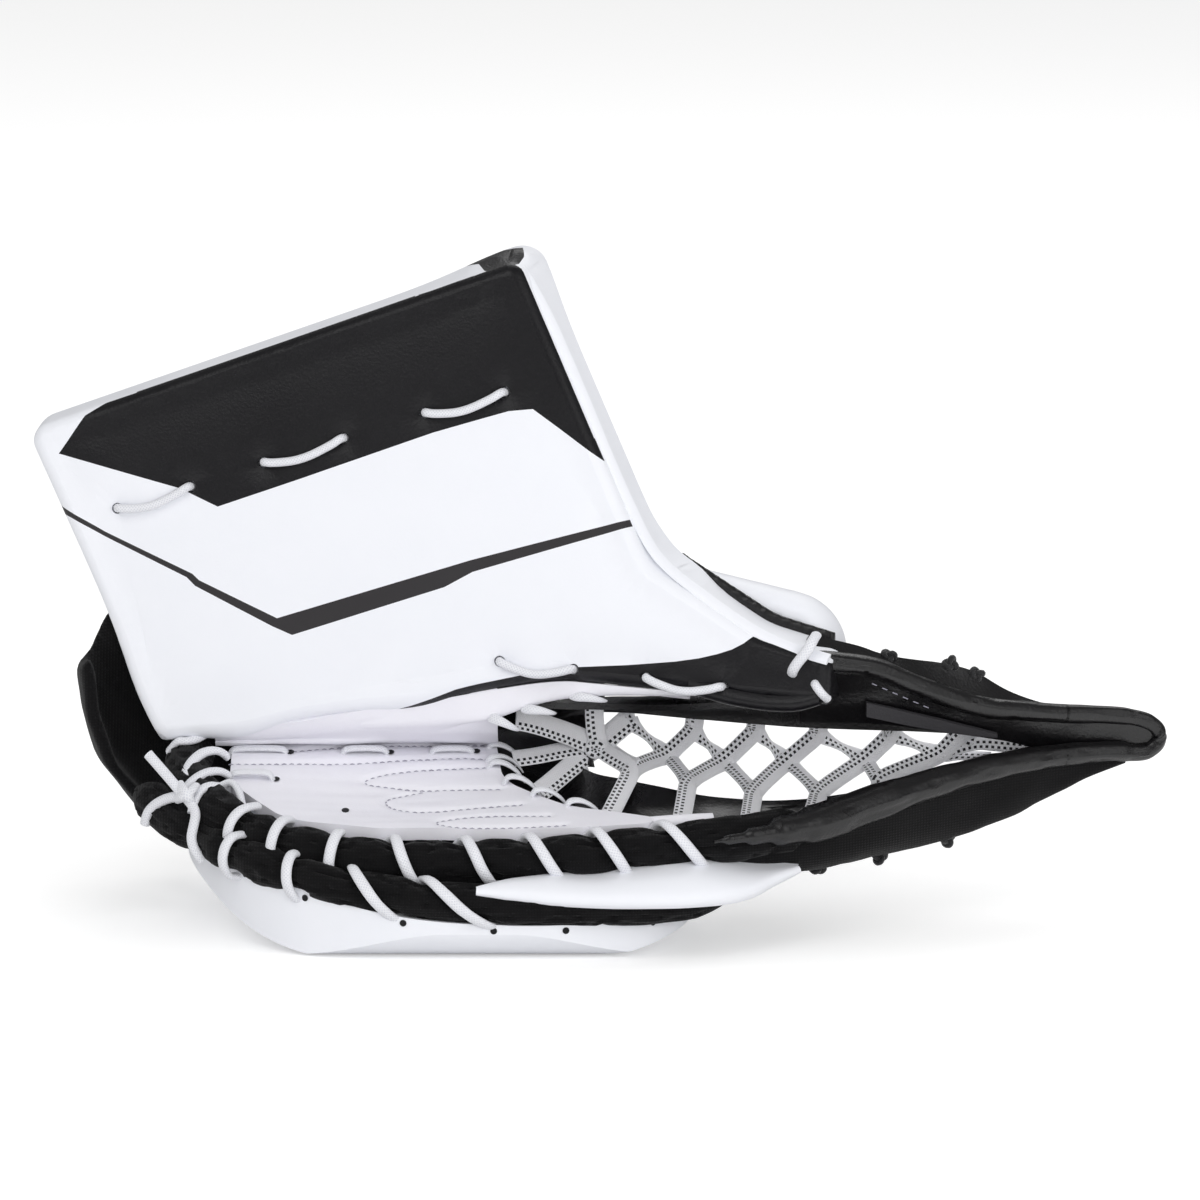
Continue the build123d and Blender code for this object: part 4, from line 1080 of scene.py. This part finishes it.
panel_rows = stations(
    (106, (-49, 40), (-50, 33), (-44, 28.5), (-26, 27), (-6, 34), (6, 40)),
    (122, (-45, 38), (-46, 31), (-38, 26.4), (-22, 25), (-4, 32), (8, 41)),
    (136.8, (-38, 40), (-38, 32), (-26, 25), (-14, 23.4), (2, 31), (12, 42)),
    (159.6, (-25, 44), (-22, 35), (-12, 27), (-3, 25.4), (9, 33), (17, 45)),
    (184.7, (-4, 49.5), (-2, 40), (4, 31), (10, 29.2), (19, 36), (26, 48)),
    (200, (7, 53), (9, 43), (13, 34.4), (18, 32.4), (25, 39), (31, 51)),
    (215, (17, 55), (18, 46), (21, 38.6), (25, 37), (30, 43), (34, 53)),
    (229, (25, 56), (26, 50), (28, 44.4), (31, 43.2), (34, 48), (37, 56)),
    (242, (31.5, 57), (32, 53.5), (33, 50.5), (35, 50), (37, 53), (38.5, 58)),
    (255, (36.5, 57.5), (36.8, 55.6), (37.2, 54), (38, 53.6), (39, 55.5), (39.6, 58)),
)
panel = sheet_of("pocket_floor_skin", panel_rows, 2.0, 1.1, 21.0)
finish(panel, "finger_side", black_knit, "black_nylon", "lower_pocket_panel")

# ------------------------------------------------------------ leather of the pocket
# Black cowhide lines the pocket: a roof that turns down into the strap the net is laced
# to, a bowl that rises to the lower strap, and a soft back.
roof_rows = stations(
    (14, (14, 80), (24, 79.5), (35, 76), (42, 70), (44, 66)),
    (30, (13, 80), (23, 80), (33, 77.5), (40, 72), (42, 68)),
    (46, (12.5, 80), (20, 80.8), (28, 80), (32, 77), (33, 74.5)),
    (60, (12, 80), (19, 81), (25.5, 80.4), (28, 78), (28.4, 75.6)),
    (80, (11.4, 79.6), (18, 82.6), (24.6, 80), (27.2, 77), (27.4, 73.6)),
    (104, (3, 82.6), (15, 83.4), (22.8, 80.4), (25.8, 75.6), (26, 71.4)),
    (130, (-3, 82.6), (11, 83.4), (20.4, 80), (23.6, 74.6), (23.8, 69.8)),
    (160, (4, 80), (13, 81), (21.6, 78.6), (24.4, 73.6), (24.6, 69)),
    (190, (18, 78), (22.5, 78), (26.8, 75.2), (28.6, 71), (28.8, 66.6)),
    (212, (26.5, 74.5), (29, 74.2), (31.2, 71.8), (32, 68.4), (32, 65)),
)
roof = sheet_of("pocket_roof_leather", roof_rows, 2.6, 0.9, 4.0)
finish(roof, "thumb_side", black_hide, "black_leather", "upper_pocket_panel", "upper_rim_strap")

bowl_rows = stations(
    (15, (10, 45.2), (22, 44.5), (34, 47.5), (42, 53), (45, 60)),
    (30, (-11, 40.2), (6, 37.6), (24, 41), (38, 50), (42, 59.5)),
    (44, (-24, 39.2), (-8, 37.4), (12, 40), (27, 47.5), (33, 53.6)),
    (52, (-29, 38.8), (-14, 37), (2, 39.6), (12, 46), (16, 52.6)),
    (64, (-36, 38.2), (-22, 36.8), (-6, 39), (6, 45.4), (11.5, 51)),
    (90, (-41, 38.4), (-24, 35.8), (-8, 38), (5, 42), (10, 45.4)),
    (112, (-35, 38.4), (-20, 36), (-6, 37.4), (6, 40), (11, 43)),
    (136, (-26, 38), (-14, 34), (-2, 35), (8, 39), (12.6, 42.8)),
    (172, (0, 44), (6, 40), (13, 40.4), (19, 44.6), (21, 48.6)),
    (204, (22, 50), (25, 48), (28.5, 49), (31, 52), (31.6, 55)),
)
bowl = sheet_of("pocket_bowl_leather", bowl_rows, 2.4, 1.0, 7.0)
finish(bowl, "finger_side", black_hide, "black_leather", "pocket_liner", "lower_rim_strap")

back_rows = [
    [(13.5, 43.5, 72), (13.5, 45.5, 66), (13.5, 46, 60), (13.5, 43.5, 54)],
    [(30, 40.5, 74), (30, 44, 67), (30, 44, 60), (30, 39.5, 52)],
    [(42, 34.5, 77), (42, 40, 69), (42, 40, 61), (42, 34, 53)],
    [(50.5, 29.5, 78), (49, 36.5, 70), (49, 36.5, 62), (51, 25.5, 54)],
]
pocket_back = sheet_of("pocket_back_leather", back_rows, 1.8, 1.3, 9.0, 8)
pocket_back.data.materials.append(black_hide)
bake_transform(pocket_back)

# ------------------------------------------------------------ knots along the bars
# The black laces that close each bar end in small overhand knots with short tails.
black_lace = braided_lace("waxed_black_lace", "1D1D20", "0F0F11", 0.8, 0.5)


def overhand_knots(name, places, turns, body, node):
    """A small trefoil knot with its tail on each place."""
    mesh = bmesh.new()
    for place, turn in zip(places, turns):
        centre = Vector(place)
        spin = Matrix.Rotation(radians(turn), 3, "Y") @ Matrix.Rotation(radians(70), 3, "X")
        loop = []
        for step in range(25):
            t = 0.35 + 2 * pi * 0.93 * step / 24
            wave = Vector((sin(t) + 2 * sin(2 * t), cos(t) - 2 * cos(2 * t), -1.2 * sin(3 * t)))
            loop.append(centre + spin @ wave * 0.86)
        away = (loop[-1] - loop[-2]).normalized()
        loop.append(loop[-1] + away * 2.5)
        strand(mesh, route(loop, steps=4), 0.0025, 0.0023, lambda spot: spot - centre / 1000, 8)
    finish(made_of(mesh, name), body, black_lace, "black_lace", node)


upper_knots = [(163, 3.6, 100.8), (187, 12.2, 96.6), (197, 16.0, 91.6)]
lower_knots = [(136, -15.5, 23.2), (159.6, -5, 25.2), (186, 8.4, 29.2)]
overhand_knots("upper_bar_knots", upper_knots, (20, 80, 140), "thumb_side", "upper_knots")
overhand_knots("lower_bar_knots", lower_knots, (60, 10, 120), "finger_side", "lower_knots")

# ------------------------------------------------------------ net of the pocket
# Flat white skate lace with a black tracer, laced through both rim straps and woven into
# diamonds that hang back as a deep pocket. Near the palm it fans out from a knot.
flat_lace = braided_lace("flat_white_lace_with_tracer", "FBFBFE", "F3F3F9", 0.7, 0.6, tracer=True)
tree = flat_lace.node_tree
shader = tree.nodes["Principled BSDF"]
thin = add(tree, "ShaderNodeBsdfTranslucent", {"Color": shader.inputs["Base Color"].links[0].from_socket})
through = add(tree, "ShaderNodeMixShader", {0: 0.10, 1: shader.outputs[0], 2: thin.outputs[0]})
tree.links.new(through.outputs[0], tree.nodes["Material Output"].inputs["Surface"])
# The net's holes and crossings, row by row from the top, in millimetres.
top_holes = [
    (51, 28, 77), (68, 29, 77.5), (90, 27.5, 75), (113, 26, 73), (137, 25.4, 72), (162, 26.4, 71.5),
    (189, 30.4, 69),
]
top_nodes = [
    (64, 36, 70.4), (89, 36, 66.4), (113, 36, 66.2), (137, 36, 64.8), (165, 36, 64.6), (191, 36, 64.6),
]
middle_nodes = [(79, 42, 55.4), (101, 42, 53.1), (125, 42, 53.1), (155, 41, 53.7), (184, 39, 56.2)]
low_nodes = [(66, 17.5, 55.4), (87, 15, 50.6), (112, 14.6, 46.6), (137, 16.2, 46.2), (160, 22.5, 49.8)]
low_holes = [(57, -11, 43), (84.4, -12, 42), (110, -12, 41.6), (134.5, -3, 42.6), (163, 14, 46)]
fan_node = (52.5, 32, 61.2)
crossings = [Vector(spot) / 1000 for spot in top_nodes + middle_nodes + low_nodes + [fan_node]]


def flat_weave(number, turn, across, rise):
    """Squares off a round section into a flat band."""
    return across, rise / max(abs(sin(turn)), 0.05) ** 0.6


def lay_ribbon(mesh, stops, before, twist, wide=0.0072):
    """A flat lace through its stops, so far before the crossings, and rolled by its twist between them."""
    line = route([Vector(stop) + Vector((0, -before, 0)) for stop in stops], steps=9)

    def faces(spot):
        gap = min((spot - crossing).length for crossing in crossings)
        roll = radians(twist) * (1 - exp(-((gap / 0.006) ** 2)))
        return Vector((0, -cos(roll), 0.35 + sin(roll)))

    strand(mesh, line, wide, 0.0011, faces, 12, flat_weave)


def between(one, two, back=0.0, share=0.5):
    return tuple(Vector(one).lerp(Vector(two), share) + Vector((0, back, 0)))


def over_rim(node, hole):
    """From a low node over the lower strap and down its front to a hole in the bowl."""
    return [node, between(node, hole, -1.2, 0.3), between(node, hole, -1.0, 0.65), hole]


# One family of laces slants in front of the crossings, the other behind them.
mesh = bmesh.new()
for number in range(5):
    up, mid, low = top_nodes[number + 1], middle_nodes[number], low_nodes[number]
    hole = top_holes[number + 2] if number < 4 else (196, 31.5, 68.5)
    stops = [hole, between(hole, up, 1.0), up, between(up, mid), mid, between(mid, low, 1.5)]
    lay_ribbon(mesh, stops + over_rim(low, low_holes[number]), 0.9, 10)
for number in range(5):
    up, mid = top_nodes[number], middle_nodes[number]
    hole = top_holes[number + 1]
    stops = [hole, between(hole, up, 1.0), up, between(up, mid), mid]
    if number < 4:
        low = low_nodes[number + 1]
        stops += [between(mid, low, 1.5)] + over_rim(low, low_holes[number + 1])
    else:
        stops += [(193, 36, 56.4), (203, 33.5, 56.5)]
    lay_ribbon(mesh, stops, -0.7, 62, 0.0062)
# Two laces run out to the tip, and four fan out round the knot next to the palm.
fan_to_top = [fan_node, between(fan_node, top_nodes[0]), top_nodes[0]]
far_lace = [(199, 31.5, 67.5), (196, 35, 66), top_nodes[5]]
far_lace += [(198, 36.6, 61.6), (207, 37.2, 60.4), (218, 37.6, 59.6)]
middle_lace = [middle_nodes[4], (192, 38, 60.2), (200, 37.4, 61.4), (209, 37, 60.6), (219, 37.2, 59.8)]
low_lace = [low_nodes[0], between(low_nodes[0], low_holes[0]), low_holes[0]]
for stops, before, twist, wide in (
    (far_lace, -0.6, 16, 0.0062),
    (middle_lace, 1.2, 20, 0.0056),
    ([(21, 24, 73.2), (26, 25, 72.4), (40, 29.5, 67)] + fan_to_top, 1.4, 8, 0.0088),
    ([(20, 23, 57.6), (27, 24.5, 58), (40, 29, 60), fan_node, (58, 30, 58), low_nodes[0]], -0.4, 34, 0.0080),
    ([(30, 11, 46.6), (33, 14, 48.2), (43, 24, 55)] + fan_to_top, -1.6, 10, 0.0084),
    ([top_holes[0], (51, 31, 71), fan_node, (57, 27, 58.6)] + low_lace, 2.4, 10, 0.0072),
):
    lay_ribbon(mesh, stops, before, twist, wide)
fan_knot = [
    (50, 28.6, 62.8), (48.4, 27.8, 60.6), (50.2, 27.2, 58.4), (53.4, 27.4, 58.6), (54.4, 28, 61),
    (52.4, 27.4, 63), (49.6, 28.2, 62),
]
strand(mesh, route(fan_knot), 0.0034, 0.0016, (0, -1, 0.2))
net = made_of(mesh, "pocket_net")
net.data.materials.append(flat_lace)
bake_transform(net)
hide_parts("web_laces")

# ------------------------------------------------------------ laces of the palm
# Round white lace: a track along the fold, and short loops that hold the palm's edge to
# the leather of the pocket.


def on_palm(x, v, out):
    return palm_frame @ (Vector((x, v, out)) / 1000)


mesh = bmesh.new()
for start, end, v in ((-89, -66.5, 86.5), (-46, -28, 86.5), (-12, 5, 86.5), (-88, -71.6, 61)):
    rise = [(start, -2.4), (start + 0.8, 0.1), (start + 3, 0.9), ((start + end) / 2, 1.1)]
    fall = [(end - 3, 0.9), (end - 0.8, 0.1), (end, -2.4)]
    strand(mesh, route([on_palm(x, v, out) * 1000 for x, out in rise + fall]), 0.0046, 0.0022, palm_up)
finish(made_of(mesh, "palm_lace_track"), "finger_side", white_lace, "white_lace", "palm_laces")

# Each stitch of the track ends in a punched hole; one more hole is left open. Each hole is drawn as a flat
# disc of painted shade.
mesh = bmesh.new()
for x, v in ((-65.4, 86.5), (-27.2, 86.5), (5.8, 86.5), (-70.2, 61), (-43, 31.7)):
    _, spot, facing, _ = palm.closest_point_on_mesh(on_palm(x, v, 2))
    ring = []
    for step in range(9):
        angle = 2 * pi * step / 9
        flat = Vector((1.5 * cos(angle), 0, 0)) / 1000 + palm_back * (2.6 * sin(angle) / 1000)
        ring.append(mesh.verts.new(spot + flat + facing * 0.00025))
    mesh.faces.new(ring)
finish(made_of(mesh, "palm_hole_painted_shade"), "finger_side", painted_hole_shade, "palm_leather")


def pointed(line):
    """A section that runs out to a point at the end of a line."""
    marks = walked_along(line)

    def shape(number, turn, across, rise):
        share = marks[number] / marks[-1]
        return across * (1.04 - share) ** 0.55, rise * (1.1 - share) ** 0.5

    return shape


mesh = bmesh.new()
for x, v, angle in (
    (14.5, 90, -8), (14.6, 77.5, 14), (15.4, 71, -14), (21.4, 55.5, -10), (32, 42.0, -4), (45, 30.5, 2),
):
    out = Vector((cos(radians(angle)), sin(radians(angle))))
    stops = [(-4.6, -1.8), (-4.0, 0.5), (-1.6, 1.4), (1.6, 1.0), (4.6, -0.6), (7.4, -3.0), (9.4, -6.4)]
    line = route([on_palm(x + reach * out.x, v + reach * out.y, rise) * 1000 for reach, rise in stops])
    strand(mesh, line, 0.0048, 0.0021, palm_up, 10, pointed(line))
finish(made_of(mesh, "palm_edge_loops"), "finger_side", white_lace, "white_lace", "palm_edge_laces")

# Three more loops hold the lip under the board to the roof of the pocket.
mesh = bmesh.new()
for start, end in (
    ((13.0, 1.6, 77.2), (21.6, -0.4, 73.4)), ((25.6, 0.4, 81.2), (35.4, -0.6, 79.8)),
    ((44.0, -2.6, 86.8), (54.8, -3.6, 85.2)),
):
    start, end = Vector(start), Vector(end)
    crown = start.lerp(end, 0.4) + Vector((0, -1.6, 0.6))
    line = route([start + Vector((-1, 2, 0.4)), start, crown, end, end + Vector((1, 2.4, -0.4))])
    strand(mesh, line, 0.0044, 0.0020, (0, -1, 0.3), 10, pointed(line))
finish(made_of(mesh, "lip_edge_loops"), "thumb_side", white_lace, "white_lace")

# The edge of the palm runs out along the inner roll as a thin strip of the same hide.
mesh = bmesh.new()
edge_stops = [
    (40, -47, 44.6), (48, -46, 44.8), (58, -44.6, 45.2), (73, -42, 45.8), (85, -39, 46.2), (96, -36, 46.0),
]
strand(mesh, route(edge_stops), 0.0050, 0.0022, (0, -1, 0.9))
finish(made_of(mesh, "palm_edge_strip"), "finger_side", palm_hide, "palm_leather")

# ------------------------------------------------------------ heel tie
# At the heel the perimeter lace wraps the inner roll five times more, and its two ends are
# tied together over the rolls and left long.
heel_wraps = [
    [
        (-112, 26, 60), (-108.9, 22, 65.0), (-105.8, 21, 64.8), (-102.4, 22.5, 65.1), (-98.8, 26, 66.6),
        (-97, 29, 67.4),
    ],
    [
        (-103.4, -8, 53.4), (-104.6, -4, 56.2), (-103.6, 2, 59.2), (-99.6, 8, 62.4), (-95, 10, 63.6),
        (-91, 11, 62.6), (-89.4, 13, 60.4),
    ],
    [
        (-105.6, -19, 50.2), (-105.2, -17, 52.6), (-102.6, -13, 55.4), (-98.6, -9, 57.6), (-94.2, -6, 58.6),
        (-90.2, -4, 57.8), (-88.4, -2, 56),
    ],
    [
        (-101.6, -27, 46.4), (-100.8, -25, 50.4), (-98.2, -21, 54.2), (-94.6, -18, 55.4),
        (-91.6, -16, 54.4), (-89.8, -14, 54.0),
    ],
    [
        (-91.8, -15, 53.6), (-88.6, -15.4, 55.8), (-85.6, -17, 55.8), (-83.4, -21, 52.8),
        (-82.4, -25, 49.2), (-81.0, -27, 47),
    ],
]
mesh = bmesh.new()
for stops in heel_wraps:
    strand(mesh, route(stops), 0.0044, 0.0029, lambda spot: spot - nearest(inner_line, spot))
# The two ends, and the knot of two short turns pulled tight across them.
for stops in (
    [
        (-118.4, -13, 66.4), (-114, -16, 62.0), (-109, -20, 57), (-105, -22.6, 52.6), (-101.4, -26, 49.6),
        (-99.6, -30, 46.6), (-100.6, -33.6, 42.4), (-101.6, -34.6, 37.4), (-99.4, -37, 32.6), (-97, -37, 30),
    ],
    [
        (-120, -9, 38.4), (-119.4, -10.4, 42.4), (-116.6, -12.6, 46.4), (-112, -16, 49.6), (-107, -20, 51.4),
        (-103, -22.4, 52.4), (-100.6, -23.4, 50.8),
    ],
    [
        (-107.0, -20.6, 50.6), (-105.6, -24.6, 51.8), (-103.4, -26.8, 53.2), (-101.2, -25.4, 54.8),
        (-100.2, -21.4, 55.6),
    ],
    [
        (-106.2, -20.4, 56.0), (-104.8, -24.6, 55.0), (-102.8, -27.4, 52.6), (-101.4, -25.6, 50.4),
        (-100.8, -21.6, 49.6),
    ],
):
    strand(mesh, route(stops), 0.0041, 0.0031, (-0.5, -1, 0.3))
finish(made_of(mesh, "heel_lace_tie"), "finger_side", white_lace, "white_lace", "heel_laces")

# ------------------------------------------------------------ finger stalls
# Four knitted tubes under the palm, one for each finger, flattened by the board.


def creased(piece, depth, seed, size, stretch):
    """Works soft folds and fine creases into a softened piece."""
    places = coordinates(piece)
    facing = coordinates(piece, "normal")
    folds = 0.65 * ripple(places, size, seed, stretch) + 0.35 * ripple(places, size / 2.8, seed + 5, stretch)
    put(piece, places + facing * (folds * depth)[:, None])


for number, finger in enumerate(("index", "middle", "ring", "little")):
    stall = soft_copy("finger_stall_" + finger, finger + "_finger_sleeve", 0.0012, 4)
    creased(stall, 0.0007, 12 + number, 0.012, (1.2, 0.8, 1.2))
    finish(stall, "finger_side", black_knit, "black_mesh", "finger_stall_" + finger, fill=0.2)

# ------------------------------------------------------------ wrist wrap and straps
# A padded wall of black spacer mesh stands round the wrist; a webbing strap with hook and
# loop closes it, drawn through a steel loop on its tab.
wrap = soft_copy("wrist_wrap", "wrist_wrap_padded", 0.0022, 5)
# It bulges at the heel, most at its shoulder, and its top is pressed down there.
places = coordinates(wrap)
left = np.clip((-0.094 - places[:, 0]) / 0.03, 0, 1)
places[:, 0] -= 0.0028 * left * bell(places[:, 2], 0.090, 0.045)
places[:, 0] -= 0.0048 * left * bell(places[:, 2], 0.103, 0.010)
places[:, 2] -= 0.12 * left * np.maximum(places[:, 2] - 0.092, 0)
put(wrap, places)
creased(wrap, 0.0018, 20, 0.035, (1, 1, 0.7))
finish(wrap, "finger_side", black_knit, "black_nylon", "wrist_wrap", fill=0.5)

# Flat woven nylon webbing, and the stiffer tape of the closure.
nylon_webbing = woven_fabric("black_nylon_webbing", "1D1D20", "0B0B0C", 2.2, 0.8, 0.6, 0.1)
hook_tape = woven_fabric("hook_and_loop_tape", "19191B", "0A0A0B", 0.9, 0.9, 0.95, 0.05)
for node, name, body, material, slot, voxel in (
    ("wrist_strap", "wrist_strap_webbing", "finger_side", nylon_webbing, "webbing", 0.0007),
    ("hand_strap", "hand_strap_webbing", "finger_side", nylon_webbing, "webbing", 0.0008),
    ("strap_tab", "strap_tab_webbing", "strap_end", nylon_webbing, "webbing", 0.0006),
    ("strap_loop_patch", "strap_loop_pile", "finger_side", black_spacer, "black_mesh", 0.0005),
    ("strap_hook_patch", "strap_hook_tape", "strap_end", hook_tape, "hook", 0.0005),
):
    finish(soft_copy(node, name, voxel, 2), body, material, slot, node)

# Bent and welded steel wire, nickel plated, with fine scratches where the webbing runs.
plated_steel, tree, shader = new_material("nickel_plated_steel")
shader.inputs["Metallic"].default_value = 1.0
shader.inputs["Base Color"].default_value = linear("B9B8B4")
place = add(tree, "ShaderNodeTexCoord").outputs["Object"]
scratch = add(tree, "ShaderNodeTexNoise", {"Vector": place, "Scale": 700, "Detail": 5}).outputs["Fac"]
dress(tree, scratch, 0.1, 0.0001, gloss=spread(tree, scratch, 0.16, 0.42))
paint("strap_ring", plated_steel)
